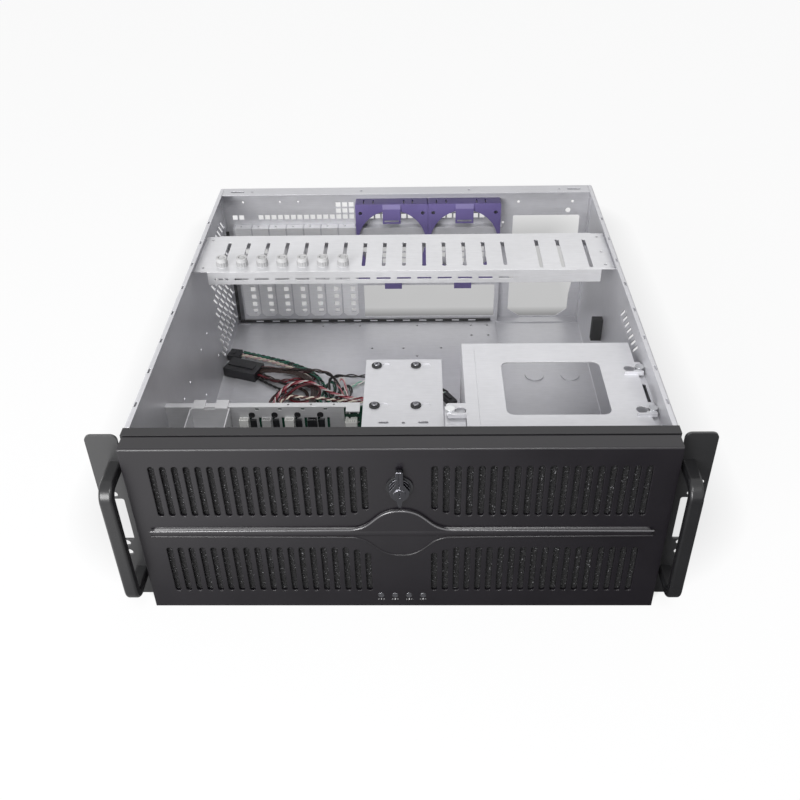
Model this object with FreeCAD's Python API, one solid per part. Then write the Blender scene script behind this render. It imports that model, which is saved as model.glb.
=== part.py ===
import FreeCAD, Part
import math
import os

"""Empty four-unit rackmount server case with its lid off, in millimetres.

X runs to the right, +Y to the back and +Z up. The case is drawn with y = 0 at the front face of the rack ears
and z = 0 under the floor, and it is moved at the end so that the origin lies at the middle of its base.
"""

Vector = FreeCAD.Vector

# ---------------------------------------------------------------- driving dimensions
# Rack standard
EAR_WIDTH = 28.3
RACK_SLOT_INSET = 8.75
RACK_SLOT_PITCH = 76.2
RACK_INNER_PITCH = 54.6
RACK_SLOT_LENGTH = 12.0
RACK_SLOT_WIDTH = 6.8

# Folded steel body
STEEL = 1.2
BODY_WIDTH = 426.0
BODY_DEPTH = 450.0
CASE_HEIGHT = 176.5
BEND = 1.2
LIP = 5.0
SEAM = 0.3
LANCE_FIRST = 39.7
LANCE_PITCH = 46.3
LANCE_COUNT = 8
LANCE_LENGTH = 7.0

# Raised mainboard field and power supply pads of the floor
FIELD_INSET = 16.3
FIELD_RISE = 1.5
FIELD_TO_WALL = 102.8
FIELD_FRONT = 176.0
FIELD_BACK_MARGIN = 14.0
PAD_RADIUS = 10.5
PAD_PITCH = 40.5
PAD_FROM_WALL = 24.8
PAD_FROM_BACK = 128.0

# Mainboard hole pattern
BOARD_SPAN_X = 157.48
BOARD_SPAN_Y = 154.94
BOARD_FROM_IO = -6.5
BOARD_BACK_MARGIN = 21.0
BOARD_HOLE_RADIUS = 1.6

# Side vents
VENT_BACK_MARGIN = 12.0
VENT_BOTTOM = 12.0
VENT_COLUMNS = 9
VENT_ROWS = 8
VENT_ROW_PITCH = 17.4
SLANT_COUNT = 7
SLANT_PITCH = 10.4
SLANT_FRONT = 152.0
SLANT_DROP = 24.5
SLANT_HEIGHT = 14.0
SLANT_WIDTH = 4.5

# Rear panel
TOP_FLANGE = 18.0
SIDE_FLANGE = 11.0
SLOT_PITCH = 20.32
SLOT_FROM_WALL = 21.15
SLOT_TO_IO = 16.73
COVER_WIDTH = 18.42
COVER_THICKNESS = 0.8
COVER_BOTTOM = 12.0
LEDGE_TOP = 130.7
LEDGE_DEPTH = 9.3
IO_TO_SUPPLY = 18.35
IO_WIDTH = 158.75
IO_HEIGHT = 44.45
IO_BOTTOM = 9.7
SUPPLY_TO_WALL = 9.3
SUPPLY_WIDTH = 77.4
SUPPLY_DROP = 36.0
SUPPLY_BOTTOM = 3.6
MESH_PITCH = 7.6
MESH_HOLE = 5.8
MESH_FROM_WALL = 12.0
MESH_DROP = 35.7
MESH_BLOCK_WIDTH = 22.6

# Rear fan holders
FAN_HOLE_PITCH = 71.5
FAN_OPENING_RADIUS = 39.0
FAN_DROP = 60.0
HOLDER_WIDTH = 83.2
HOLDER_DEPTH = 16.4
HOLDER_DROP = 13.3
HOLDER_HEIGHT = 99.2
HOLDER_WALL = 2.0
HOLDER_TO_SUPPLY = 15.8
LATCH_WIDTH = 20.6
LATCH_DROP = 23.0

# Card retainer bar and its hold-down posts
BAR_DROP = 7.3
BAR_FRONT = 268.0
BAR_DEPTH = 76.0
BAR_FLANGE = 14.0
BAR_SLOTS_PAST_POSTS = 8
BAR_SLOT_FROM_WALL = 29.3
BAR_SLOT_WIDTH = 3.8
BAR_DOT_RADIUS = 2.4
POST_RADIUS = 5.4
POST_HEIGHT = 9.6
POST_TRAVEL = 48.0

# Front panel and door
PANEL_SHEET = 1.5
PANEL_DEPTH = 9.4
DOOR_INSET = 1.5
DOOR_FRONT = 16.5
DOOR_GAP = 1.0
DOOR_SKIN = 2.5
DOOR_WALL = 2.0
DOOR_BOTTOM = 1.0
DOOR_TOP_GAP = 0.5
DOOR_SLOTS = 19
DOOR_SLOT_FIRST = 27.0
DOOR_SLOT_PITCH = 9.0
DOOR_SLOT_WIDTH = 5.0
DOOR_SLOT_MARGIN = 73.3
DOOR_ROW_GAP = 17.5
BAND_RISE_FROM_MIDDLE = 1.55
BAND_HALF_HEIGHT = 5.0
BAND_RISE = 2.6
BAND_INSET = 12.5
LENS_HALF_HEIGHT = 24.5
LENS_HALF_LENGTH = 40.0
LENS_RISE = 2.0
HINGE_REACH = 10.2
HINGE_PIN_RADIUS = 1.5
HINGE_KNUCKLE_RADIUS = 4.0
TONGUE_WALL = 1.1
HINGE_INSET = 28.0
TONGUE_WIDTH = 8.0
RUNNING_GAP = 0.06
FOAM = 5.0
FOAM_INNER = 23.0
FOAM_INSET = 14.0
FOAM_BOTTOM = 18.5
FOAM_DROP = 13.5
FRAME_THICKNESS = 2.0

# Lock
LOCK_DROP = 38.0
BEZEL_RADIUS = 10.5
BEZEL_WIDTH = 2.0
BEZEL_RISE = 1.4
KNOB_RISE = 4.0
KNOB_TOP = 18.6
KNOB_TAIL = 17.0
KNOB_BARREL_RADIUS = 7.2
KNOB_GRIP_WIDTH = 5.8
SPINDLE_RADIUS = 3.0
CAM_LENGTH = 19.0
CAM_WIDTH = 8.0
CAM_THICKNESS = 2.0

# Indicator windows
LAMP_COUNT = 4
LAMP_PITCH = 11.8
LAMP_Z = 14.9
LAMP_RADIUS = 2.3

# Rack ears and handles
EAR_SHEET = 2.0
EAR_CORNER = 5.0
EAR_FLANGE_DEPTH = 32.0
EAR_FLANGE_BOTTOM = 12.0
EAR_FLANGE_DROP = 11.5
EAR_SCREW_MARGIN = 16.5
EAR_WINDOW_INSET = 7.3
EAR_WINDOW_WIDTH = 11.5
EAR_WINDOW_HEIGHT = 46.0
HANDLE_FROM_WALL = 9.0
HANDLE_WIDTH = 11.0
HANDLE_REACH = 36.0
HANDLE_BAR = 8.5
HANDLE_MARGIN = 25.5
HANDLE_BEND = 14.0
HANDLE_EDGE = 2.4

# 5.25 inch bay cage, its rails and covers
CAGE_HEADROOM = 4.0
CAGE_TO_WALL = 6.4
CAGE_WIDTH = 151.4
CAGE_BACK = 164.0
CAGE_FOOT = 10.0
BAY_COUNT = 3
BAY_PITCH = 42.0
BAY_BOTTOM = 20.0
BAY_HOLE_Y = 56.0
BAY_HOLE_SPACING = 79.25
BAY_HOLE_DROP = 10.0
BAY_HOLE_RISE = 11.84
CAGE_WINDOW = (33.5, 120.0, 57.6, 134.0)
CAGE_SEAM_X = 11.0
EAR_LENGTH = 18.0
HANGER_RADIUS = 3.9
HANGER_COLLAR = 3.2
WINDOW_CORNER = 7.0
KEYHOLE_MOUTH = 4.6
RAIL_DROP = 2.0
FRONT_EAR_Y = 54.0
REAR_EAR_Y = 113.0

# Centre drive bracket
BRACKET_TO_CAGE = 17.5
BRACKET_WIDTH = 71.4
BRACKET_TOP = 120.0
BRACKET_BACK = 183.0
KEYHOLE_INSET = 10.3
KEYHOLE_SPACING_X = 36.8
KEYHOLE_Y = 110.2
KEYHOLE_SPACING_Y = 62.2
GROMMET_RADIUS = 4.8

# Drive backplane behind the left bays
RAIL_TOP = 120.0
RAIL_Y = 109.5
RAIL_FLANGE = 6.0
RAIL_TO_BRACKET = 2.6
PLATE_TO_BRACKET = 17.1
BOARD_THICKNESS = 1.6
DRIVE_PITCH = 20.5
DRIVE_FROM_WALL = 76.9
DRIVE_COUNT = 4
SOCKET_FROM_WALL = 79.8
SOCKET_PITCH = 10.4
SOCKET_COUNT = 6
SOCKET_DEPTH = 9.0
SOCKET_Z = 96.0
PORT_BOX_FROM_WALL = 22.8
PORT_BOX_WIDTH = 35.5
PORT_BOX_DEPTH = 60.0
PORT_BOX_BOTTOM = 84.0

# Power supply stop and switches
STOP_WIDTH = 11.0
STOP_HEIGHT = 26.0
STOP_Z = 63.0
STOP_Y = 300.0
STOP_DEPTH = 8.0
BUTTON_RADIUS = 5.0
BUTTON_DROP = 26.5
POWER_X = -25.0
RESET_X = 5.0
BUTTON_STROKE = 2.0

# Fasteners
SCREW_RADIUS = 1.5
SCREW_HEAD_RADIUS = 2.9
SCREW_HEAD = 1.8

# Front-panel leads, chosen by hand along their lie on the floor
LEAD_RADIUS = 1.5
FLAT_LEAD_RADIUS = 2.6

# ---------------------------------------------------------------- values worked out from them
HALF = BODY_WIDTH / 2
INNER = HALF - STEEL
RACK_EDGE = HALF + EAR_WIDTH
FIELD_TOP = STEEL + FIELD_RISE
FIELD_LEFT = -INNER + FIELD_INSET
FIELD_RIGHT = INNER - FIELD_TO_WALL
FIELD_BACK = BODY_DEPTH - FIELD_BACK_MARGIN
REAR_FACE = BODY_DEPTH - STEEL
CARD_FACE = REAR_FACE - LEDGE_DEPTH
SUPPLY_LEFT = INNER - SUPPLY_TO_WALL - SUPPLY_WIDTH
SUPPLY_TOP = CASE_HEIGHT - SUPPLY_DROP
IO_LEFT = SUPPLY_LEFT - IO_TO_SUPPLY - IO_WIDTH
SLOT_FIRST = -INNER + SLOT_FROM_WALL
EXPANSION_SLOTS = 1 + int((IO_LEFT - SLOT_TO_IO - SLOT_FIRST) / SLOT_PITCH + 0.01)
STEP_LEFT = SLOT_FIRST - COVER_WIDTH / 2 - 2.4
STEP_RIGHT = SUPPLY_LEFT - HOLDER_TO_SUPPLY + 2.6
BOARD_LEFT = IO_LEFT + BOARD_FROM_IO
SLANT_TOP = CASE_HEIGHT - SLANT_DROP
MESH_FIRST_X = -INNER + MESH_FROM_WALL
MESH_LOW_ROW = CASE_HEIGHT - MESH_DROP
FAN_CENTRE_Z = CASE_HEIGHT - FAN_DROP
HOLDER_TOP = CASE_HEIGHT - HOLDER_DROP
HOLDER_BOTTOM = HOLDER_TOP - HOLDER_HEIGHT
BAR_TOP = CASE_HEIGHT - BAR_DROP
BAR_SLOT_FIRST = -INNER + BAR_SLOT_FROM_WALL
POST_COUNT = EXPANSION_SLOTS
BAR_SLOTS = POST_COUNT + BAR_SLOTS_PAST_POSTS
DOOR_WIDTH = BODY_WIDTH - 2 * DOOR_INSET
DOOR_SLOT_LENGTH = (CASE_HEIGHT - DOOR_SLOT_MARGIN) / 2
DOOR_ROW_OFFSET = DOOR_SLOT_LENGTH / 2 + DOOR_ROW_GAP
BAND_Z = CASE_HEIGHT / 2 + BAND_RISE_FROM_MIDDLE
BAND_HALF_LENGTH = DOOR_WIDTH / 2 - BAND_INSET
HINGE_X = HALF - HINGE_INSET
FOAM_OUTER = HALF - FOAM_INSET
FOAM_TOP = CASE_HEIGHT - FOAM_DROP
LOCK_Z = CASE_HEIGHT - LOCK_DROP
EAR_FLANGE_TOP = CASE_HEIGHT - EAR_FLANGE_DROP
EAR_WINDOW_RIGHT = RACK_EDGE - EAR_WINDOW_INSET
EAR_WINDOW_LEFT = EAR_WINDOW_RIGHT - EAR_WINDOW_WIDTH
HANDLE_X = HALF + HANDLE_FROM_WALL
HANDLE_HEIGHT = CASE_HEIGHT - 2 * HANDLE_MARGIN
CAGE_TOP = BAY_BOTTOM + BAY_COUNT * BAY_PITCH + CAGE_HEADROOM
CAGE_LEFT = INNER - CAGE_TO_WALL - CAGE_WIDTH
BRACKET_LEFT = CAGE_LEFT - BRACKET_TO_CAGE - BRACKET_WIDTH
KEYHOLE_X = BRACKET_LEFT + KEYHOLE_INSET
RAIL_END = BRACKET_LEFT - RAIL_TO_BRACKET
PLATE_END = BRACKET_LEFT - PLATE_TO_BRACKET
DRIVE_FIRST = -INNER + DRIVE_FROM_WALL
SOCKET_FIRST = -INNER + SOCKET_FROM_WALL
PORT_BOX_LEFT = -INNER + PORT_BOX_FROM_WALL
BUTTON_Z = CASE_HEIGHT - BUTTON_DROP
DOOR_BACK_Y = -DOOR_GAP
DOOR_FRONT_Y = -DOOR_FRONT
DOOR_INNER_Y = DOOR_FRONT_Y + DOOR_SKIN
DOOR_TOP = CASE_HEIGHT - DOOR_TOP_GAP
HINGE_Y = DOOR_BACK_Y - HINGE_REACH
HINGE_Z = DOOR_BOTTOM + HINGE_REACH
BAR_BOTTOM = BAR_TOP - STEEL
HOLDER_FRONT_Y = REAR_FACE - HOLDER_DEPTH
ORIGIN_Y = (BODY_DEPTH - HANDLE_REACH) / 2

parts = {}


# ---------------------------------------------------------------- drawing helpers
class Plane:
    """A sketch plane: local u and v run along two model axes, and w is the third coordinate."""

    def __init__(self, axes, level):
        self.axes = axes
        self.level = level
        self.normal = {"xy": Vector(0, 0, 1), "xz": Vector(0, 1, 0), "yz": Vector(1, 0, 0)}[axes]

    def at(self, u, v):
        places = {"xy": (u, v, self.level), "xz": (u, self.level, v), "yz": (self.level, u, v)}
        return Vector(*places[self.axes])


def outline(plane, corners):
    """Closed wire through corners (u, v) or (u, v, radius), each radius a tangent arc."""
    points = [(c[0], c[1], c[2] if len(c) > 2 else 0.0) for c in corners]
    count = len(points)
    ends = []
    for i in range(count):
        u, v, radius = points[i]
        before, after = points[i - 1], points[(i + 1) % count]
        if radius == 0:
            ends.append(((u, v), None, (u, v)))
            continue
        a = (before[0] - u, before[1] - v)
        b = (after[0] - u, after[1] - v)
        la, lb = math.hypot(*a), math.hypot(*b)
        a, b = (a[0] / la, a[1] / la), (b[0] / lb, b[1] / lb)
        half = math.acos(max(-1.0, min(1.0, a[0] * b[0] + a[1] * b[1]))) / 2
        reach = radius / math.tan(half)
        bisector = (a[0] + b[0], a[1] + b[1])
        size = math.hypot(*bisector)
        near = radius / math.sin(half) - radius
        middle = (u + bisector[0] / size * near, v + bisector[1] / size * near)
        ends.append(((u + a[0] * reach, v + a[1] * reach), middle, (u + b[0] * reach, v + b[1] * reach)))
    edges = []
    for i in range(count):
        start, middle, end = ends[i]
        if middle is not None:
            edges.append(Part.Arc(plane.at(*start), plane.at(*middle), plane.at(*end)).toShape())
        following = ends[(i + 1) % count][0]
        if math.hypot(following[0] - end[0], following[1] - end[1]) > 1e-6:
            edges.append(Part.makeLine(plane.at(*end), plane.at(*following)))
    return Part.Wire(edges)


def rectangle(plane, u0, u1, v0, v1, radius=0.0):
    return outline(plane, [(u0, v0, radius), (u1, v0, radius), (u1, v1, radius), (u0, v1, radius)])


def square(plane, u, v, size):
    return rectangle(plane, u - size / 2, u + size / 2, v - size / 2, v + size / 2)


def obround(plane, u0, u1, v0, v1):
    """Slot with round ends that fills the given box."""
    radius = min(u1 - u0, v1 - v0) / 2
    if u1 - u0 > v1 - v0:
        middle = (v0 + v1) / 2
        points = [(u0 + radius, v0), (u1 - radius, v0), (u1, middle), (u1 - radius, v1), (u0 + radius, v1), (u0, middle)]
    else:
        middle = (u0 + u1) / 2
        points = [(u1, v0 + radius), (u1, v1 - radius), (middle, v1), (u0, v1 - radius), (u0, v0 + radius), (middle, v0)]
    p = [plane.at(*point) for point in points]
    return Part.Wire([Part.makeLine(p[0], p[1]), Part.Arc(p[1], p[2], p[3]).toShape(),
                      Part.makeLine(p[3], p[4]), Part.Arc(p[4], p[5], p[0]).toShape()])


def disc(plane, u, v, radius):
    return Part.Wire([Part.Circle(plane.at(u, v), plane.normal, radius).toShape()])


def sheet(plane, outer, holes, thickness):
    """Flat plate cut from the outer wire, with the holes left out, on the far side of the plane."""
    face = Part.makeFace([outer] + list(holes), "Part::FaceMakerBullseye")
    return face.extrude(plane.normal * thickness)


def prism(plane, wire, thickness):
    return Part.Face(wire).extrude(plane.normal * thickness)


def box(x0, x1, y0, y1, z0, z1):
    return Part.makeBox(x1 - x0, y1 - y0, z1 - z0, Vector(x0, y0, z0))


def rod(axis, centre, radius, start, end):
    """Cylinder along x, y or z; centre holds the other two coordinates."""
    directions = {"x": Vector(1, 0, 0), "y": Vector(0, 1, 0), "z": Vector(0, 0, 1)}
    bases = {"x": (start, centre[0], centre[1]), "y": (centre[0], start, centre[1]), "z": (centre[0], centre[1], start)}
    return Part.makeCylinder(radius, end - start, Vector(*bases[axis]), directions[axis])


def ring(axis, centre, outer, inner, start, end):
    return rod(axis, centre, outer, start, end).cut(rod(axis, centre, inner, start - 1, end + 1))


def union(shapes):
    return shapes[0].multiFuse(shapes[1:]).removeSplitter() if len(shapes) > 1 else shapes[0]


def without(shape, tools):
    return shape.cut(Part.makeCompound(tools))


def mirrored(shape):
    return shape.mirror(Vector(0, 0, 0), Vector(1, 0, 0))


def screw(axis, centre, seat, length, sign):
    """Pan-head screw: seat is where the head rests, and sign is the way the head points."""
    head = sorted((seat, seat + sign * SCREW_HEAD))
    shank = sorted((seat, seat - sign * length))
    return rod(axis, centre, SCREW_HEAD_RADIUS, *head).fuse(rod(axis, centre, SCREW_RADIUS, *shank))


def steps(first, pitch, count):
    return [first + pitch * i for i in range(count)]


# ---------------------------------------------------------------- folded base
def chassis_base():
    """Floor, both side walls and their top lips, folded from one sheet."""
    z, t, outer = CASE_HEIGHT, STEEL, BEND + STEEL
    right = [(HALF, 0, outer), (HALF, z, outer), (HALF - LIP, z), (HALF - LIP, z - t), (INNER, z - t, BEND), (INNER, t, BEND)]
    left = [(-u, v, *r) for u, v, *r in reversed(right)]
    front = PANEL_SHEET + SEAM
    profile = Plane("xz", front)
    shell = prism(profile, outline(profile, right + left), BODY_DEPTH - front)
    pads = [(INNER - PAD_FROM_WALL - i * PAD_PITCH, BODY_DEPTH - PAD_FROM_BACK) for i in range(2)]
    raised = [box(FIELD_LEFT, FIELD_RIGHT, FIELD_FRONT, FIELD_BACK, t, FIELD_TOP)]
    raised += [rod("z", pad, PAD_RADIUS, t, FIELD_TOP) for pad in pads]
    ledge_back = BAR_FRONT + BAR_DEPTH
    for side in (-1, 1):
        inner, reach = side * INNER, side * (INNER - 14.0)
        raised.append(box(min(inner, reach), max(inner, reach), BAR_FRONT + 2, ledge_back - 2, BAR_BOTTOM - t, BAR_BOTTOM))
    shell = union([shell] + raised)
    tools = [box(FIELD_LEFT + t, FIELD_RIGHT - t, FIELD_FRONT + t, FIELD_BACK - t, -1, FIELD_RISE)]
    tools += [rod("z", pad, PAD_RADIUS - t, -1, FIELD_RISE) for pad in pads]
    tools.append(box(-HALF - 1, HALF + 1, front - 1, PANEL_DEPTH + SEAM, z - t - BEND - SEAM, z + 1))
    tools += [rod("z", centre, BOARD_HOLE_RADIUS, -1, 9) for centre in floor_holes()]
    for y in steps(LANCE_FIRST, LANCE_PITCH, LANCE_COUNT):
        for side in (-1, 1):
            x = side * (HALF - LIP / 2)
            tools.append(box(x - 0.9, x + 0.9, y - LANCE_LENGTH / 2, y + LANCE_LENGTH / 2, z - t - 1, z + 1))
    for side in (-1, 1):
        tools += [prism(*wall_cut(side, hole)) for hole in side_holes(side)]
        for x, y in bar_screws():
            if x * side > 0:
                tools.append(rod("z", (x, y), SCREW_RADIUS + RUNNING_GAP, BAR_BOTTOM - t - 1, BAR_BOTTOM + 1))
        tools += [rod("x", place, SCREW_RADIUS + RUNNING_GAP, -HALF - 2, HALF + 2) for place in ear_screws()]
    shell = without(shell, tools[:2])
    return without(shell, tools[2:])


def wall_cut(side, hole):
    """Plane, wire and depth of a prism that goes through one side wall."""
    plane = Plane("yz", min(side * HALF, side * INNER) - 0.5)
    return plane, hole(plane), STEEL + 1


def side_holes(side):
    """Functions that draw each hole of one side wall on a plane."""
    back = BODY_DEPTH - VENT_BACK_MARGIN - SLANT_HEIGHT - SLANT_WIDTH
    holes = []
    if side < 0:
        for row in range(VENT_ROWS):
            for column in range(VENT_COLUMNS):
                y, z = back - SLANT_PITCH * column, VENT_BOTTOM + SLANT_HEIGHT + VENT_ROW_PITCH * row
                holes.append(lambda plane, y=y, z=z: slanted(plane, y, z))
        for y, z in ((169.7, 84.5), (197.6, 84.5), (255.0, 84.5), (287.0, 84.5), (246.0, 33.2), (321.0, 33.2)):
            holes.append(lambda plane, y=y, z=z: disc(plane, y, z, SCREW_RADIUS))
    else:
        for y in steps(SLANT_FRONT, SLANT_PITCH, SLANT_COUNT):
            holes.append(lambda plane, y=y: slanted(plane, y, SLANT_TOP))
    return holes


def slanted(plane, y, z):
    """Slot that runs down towards the back at 45 degrees from its top front corner."""
    low, width = z - SLANT_HEIGHT, SLANT_WIDTH
    return outline(plane, [(y, z), (y + width, z), (y + width + SLANT_HEIGHT, low), (y + SLANT_HEIGHT, low)])


def floor_holes():
    """Mainboard pattern and the other stand-off holes of the floor."""
    back = BODY_DEPTH - BOARD_BACK_MARGIN
    right = BOARD_LEFT + BOARD_SPAN_X
    corners = [(x, y) for x in (BOARD_LEFT, right) for y in (back, back - BOARD_SPAN_Y)]
    others = [(right, back - 22.86), (right - 20.32, back), (right - 20.32, back - 22.86)]
    others += [(BOARD_LEFT + 71.0, back), (BOARD_LEFT - 45.5, back), (BOARD_LEFT + 17.1, back - 50.3)]
    others += [(BOARD_LEFT + 54.8, back - 50.3), (BOARD_LEFT + 99.6, back - 50.3), (BOARD_LEFT + 71.1, back - 67.0)]
    return corners + others


# ---------------------------------------------------------------- rear panel and what hangs on it
def slot_centres():
    return steps(SLOT_FIRST, SLOT_PITCH, EXPANSION_SLOTS)


def fan_centres():
    right = SUPPLY_LEFT - HOLDER_TO_SUPPLY - HOLDER_WIDTH / 2
    return [right - HOLDER_WIDTH - SEAM, right]


def mesh_places():
    """Centres of the square vent holes: one long row, a short block and a disc behind each fan."""
    fans = fan_centres()
    block_right = fans[0] - HOLDER_WIDTH / 2
    places = []
    for column in range(int((STEP_RIGHT - MESH_FIRST_X) / MESH_PITCH)):
        x = MESH_FIRST_X + MESH_PITCH * column
        for row in range(-9, 3):
            z = MESH_LOW_ROW + MESH_PITCH * row
            behind_fan = any(math.hypot(x - fan, z - FAN_CENTRE_Z) < FAN_OPENING_RADIUS - MESH_HOLE / 2 for fan in fans)
            in_row = row == 0 and x < block_right - MESH_BLOCK_WIDTH and column not in (2, 3)
            in_block = block_right - MESH_BLOCK_WIDTH < x < block_right and row >= 0
            near_fold = abs(z - LEDGE_TOP) < MESH_PITCH
            if (behind_fan and not near_fold) or in_row or in_block:
                places.append((x, z))
    return places


def supply_outline(plane):
    """Power supply opening, with its lower corners cut off and its lower right edge drawn in."""
    left, right = SUPPLY_LEFT, SUPPLY_LEFT + SUPPLY_WIDTH
    low, corner = SUPPLY_BOTTOM, SUPPLY_BOTTOM + 10
    return outline(plane, [(left, SUPPLY_TOP, 2), (left, corner), (left + 15, low), (right - 17, low), (right - 4, corner),
                           (right - 4, 34), (right, 62), (right, SUPPLY_TOP, 3)])


def rear_panel():
    """Rear wall with its folded flanges, the card wall set forward under its ledge, openings and vents."""
    t = STEEL
    plane, card_plane = Plane("xz", REAR_FACE), Plane("xz", CARD_FACE)
    high = [place for place in mesh_places() if place[1] > LEDGE_TOP]
    low = [place for place in mesh_places() if place[1] < LEDGE_TOP]
    right = SUPPLY_LEFT + SUPPLY_WIDTH
    holes = [square(plane, x, z, MESH_HOLE) for x, z in high]
    holes += [supply_outline(plane), rectangle(plane, STEP_LEFT, STEP_RIGHT, 2 * t, LEDGE_TOP - t)]
    holes += [disc(plane, right - 14.3, SUPPLY_TOP + 6, 3), disc(plane, SUPPLY_LEFT - 11.4, SUPPLY_TOP - 8.8, 1.5)]
    holes += [disc(plane, SUPPLY_LEFT + 5.3, SUPPLY_TOP + 17, 1.6), disc(plane, right - 10, SUPPLY_TOP + 17, 1.6)]
    holes += [disc(plane, SLOT_FIRST + offset, SUPPLY_TOP + 19.5, 1.3) for offset in (2.2, 45.0, 66.3)]
    fold = BEND + 0.1
    wall = sheet(plane, outline(plane, [(-INNER, t, fold), (INNER, t, fold), (INNER, CASE_HEIGHT), (-INNER, CASE_HEIGHT)]), holes, t)
    card_holes = [square(card_plane, x, z, MESH_HOLE) for x, z in low]
    card_holes.append(rectangle(card_plane, IO_LEFT, IO_LEFT + IO_WIDTH, IO_BOTTOM, IO_BOTTOM + IO_HEIGHT))
    card_holes += [rectangle(card_plane, x - 6.2, x + 6.2, COVER_BOTTOM + 6, LEDGE_TOP - t - 5) for x in slot_centres()]
    card_wall = sheet(card_plane, rectangle(card_plane, STEP_LEFT, STEP_RIGHT, t, LEDGE_TOP), card_holes, t)
    ledge_plane = Plane("xy", LEDGE_TOP - t)
    ledge_holes = [disc(ledge_plane, x, ledge_middle(), SCREW_RADIUS + RUNNING_GAP) for x in cover_screws()]
    ledge = sheet(ledge_plane, rectangle(ledge_plane, STEP_LEFT, STEP_RIGHT, CARD_FACE, REAR_FACE + t), ledge_holes, t)
    returns = [box(x, x + t, CARD_FACE, REAR_FACE + t, t, LEDGE_TOP) for x in (STEP_LEFT, STEP_RIGHT - t)]
    flange = Plane("xy", CASE_HEIGHT - t)
    middle = BODY_DEPTH - 9.5
    edge = HALF - LIP - SEAM
    cuts = [obround(flange, min(s * (HALF - 30), s * (HALF - 14)), max(s * (HALF - 30), s * (HALF - 14)), middle - 2.2,
                    middle + 2.2) for s in (-1, 1)]
    cuts += [disc(flange, x, middle, SCREW_RADIUS + RUNNING_GAP) for x, y in lid_screws()]
    cuts += [disc(flange, x, middle, 1.6) for x in (-49.6, 72.7)]
    top = sheet(flange, rectangle(flange, -edge, edge, BODY_DEPTH - TOP_FLANGE, BODY_DEPTH), cuts, t)
    corner_cut = [box(s * edge if s > 0 else -INNER - 1, INNER + 1 if s > 0 else -edge, REAR_FACE - 1, BODY_DEPTH + 1,
                      CASE_HEIGHT - t - fold, CASE_HEIGHT + 1) for s in (-1, 1)]
    sides = [box(min(s * INNER, s * (INNER - t)), max(s * INNER, s * (INNER - t)), REAR_FACE - SIDE_FLANGE, REAR_FACE,
                 t + fold, CASE_HEIGHT - t - fold) for s in (-1, 1)]
    foot = box(-INNER + t, INNER - t, FIELD_BACK + SEAM, REAR_FACE, t, 2 * t)
    foot_plane = Plane("xy", t)
    sills = [prism(foot_plane, rectangle(foot_plane, x - 5, x + 5, CARD_FACE - 2, CARD_FACE), t) for x in slot_centres()]
    return union([without(wall, corner_cut), card_wall, top, without(foot, sills), ledge] + returns + sides)


def ledge_middle():
    return (CARD_FACE + REAR_FACE) / 2


def lid_screws():
    return [(s * (HALF - 38.8), BODY_DEPTH - 9.5) for s in (-1, 1)]


def cover_screws():
    return [x - 2.6 for x in slot_centres()]


def slot_cover(x):
    """Blanking plate of one expansion slot, with its vent holes and the tab bent back over the ledge."""
    t, half = COVER_THICKNESS, COVER_WIDTH / 2
    plane = Plane("xz", CARD_FACE - t)
    vents = [square(plane, x + 3.2, z, 5.6) for z in steps(COVER_BOTTOM + 7.5, 10.3, 10)]
    plate = sheet(plane, outline(plane, [(x - half, COVER_BOTTOM + 4), (x - half + 4, COVER_BOTTOM), (x + half - 4, COVER_BOTTOM),
                                         (x + half, COVER_BOTTOM + 4), (x + half, LEDGE_TOP + t),
                                         (x - half, LEDGE_TOP + t)]), vents, t)
    tab = Plane("xy", LEDGE_TOP)
    hole = disc(tab, x - 2.6, ledge_middle(), SCREW_RADIUS + RUNNING_GAP)
    return union([plate, sheet(tab, rectangle(tab, x - half, x + half, CARD_FACE - t, REAR_FACE - SEAM), [hole], t)])


def fan_holder(centre):
    """Plastic holder of one 80 mm fan: frame with a round opening, ribbed top and spring latch."""
    half, wall, front = HOLDER_WIDTH / 2, HOLDER_WALL, HOLDER_FRONT_Y
    plane = Plane("xz", front)
    holes = [disc(plane, centre, FAN_CENTRE_Z, FAN_OPENING_RADIUS)]
    offset = FAN_HOLE_PITCH / 2
    holes += [disc(plane, centre + i * offset, FAN_CENTRE_Z + j * offset, 2.2) for i in (-1, 1) for j in (-1, 1)]
    face = sheet(plane, rectangle(plane, centre - half, centre + half, HOLDER_BOTTOM, HOLDER_TOP, 1.5), holes, wall)
    depth_plane = Plane("xz", front)
    rim = sheet(depth_plane, rectangle(depth_plane, centre - half, centre + half, HOLDER_BOTTOM, HOLDER_TOP, 1.5),
                [rectangle(depth_plane, centre - half + wall, centre + half - wall, HOLDER_BOTTOM + wall, HOLDER_TOP - wall)],
                HOLDER_DEPTH)
    rim = rim.cut(box(centre - half - 1, centre + half + 1, CARD_FACE, REAR_FACE + 1, HOLDER_BOTTOM - 1, LEDGE_TOP))
    notches = [box(centre + x - 0.8, centre + x + 0.8, front + 3, front + 13, HOLDER_TOP - wall - 1, HOLDER_TOP + 1)
               for x in (-32, -21, 14, 24)]
    latch_half = LATCH_WIDTH / 2
    latch_low = HOLDER_TOP - LATCH_DROP
    side = Plane("yz", centre - latch_half)
    latch = prism(side, outline(side, [(front + wall, HOLDER_TOP), (front, HOLDER_TOP), (front - 2.5, HOLDER_TOP - 5),
                                       (front - 2.5, latch_low), (front - 0.7, latch_low), (front - 0.7, HOLDER_TOP - 6),
                                       (front + wall, HOLDER_TOP - 6)]), LATCH_WIDTH)
    latch = latch.cut(box(centre - latch_half + 2, centre + latch_half - 2, front - 4, front + 1, latch_low + 1.6, latch_low + 4.2))
    tail = box(centre - latch_half, centre + latch_half, front, front + wall, HOLDER_BOTTOM - 11, HOLDER_BOTTOM + 1)
    return union([face, rim.cut(Part.makeCompound(notches)), latch, tail])


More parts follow.
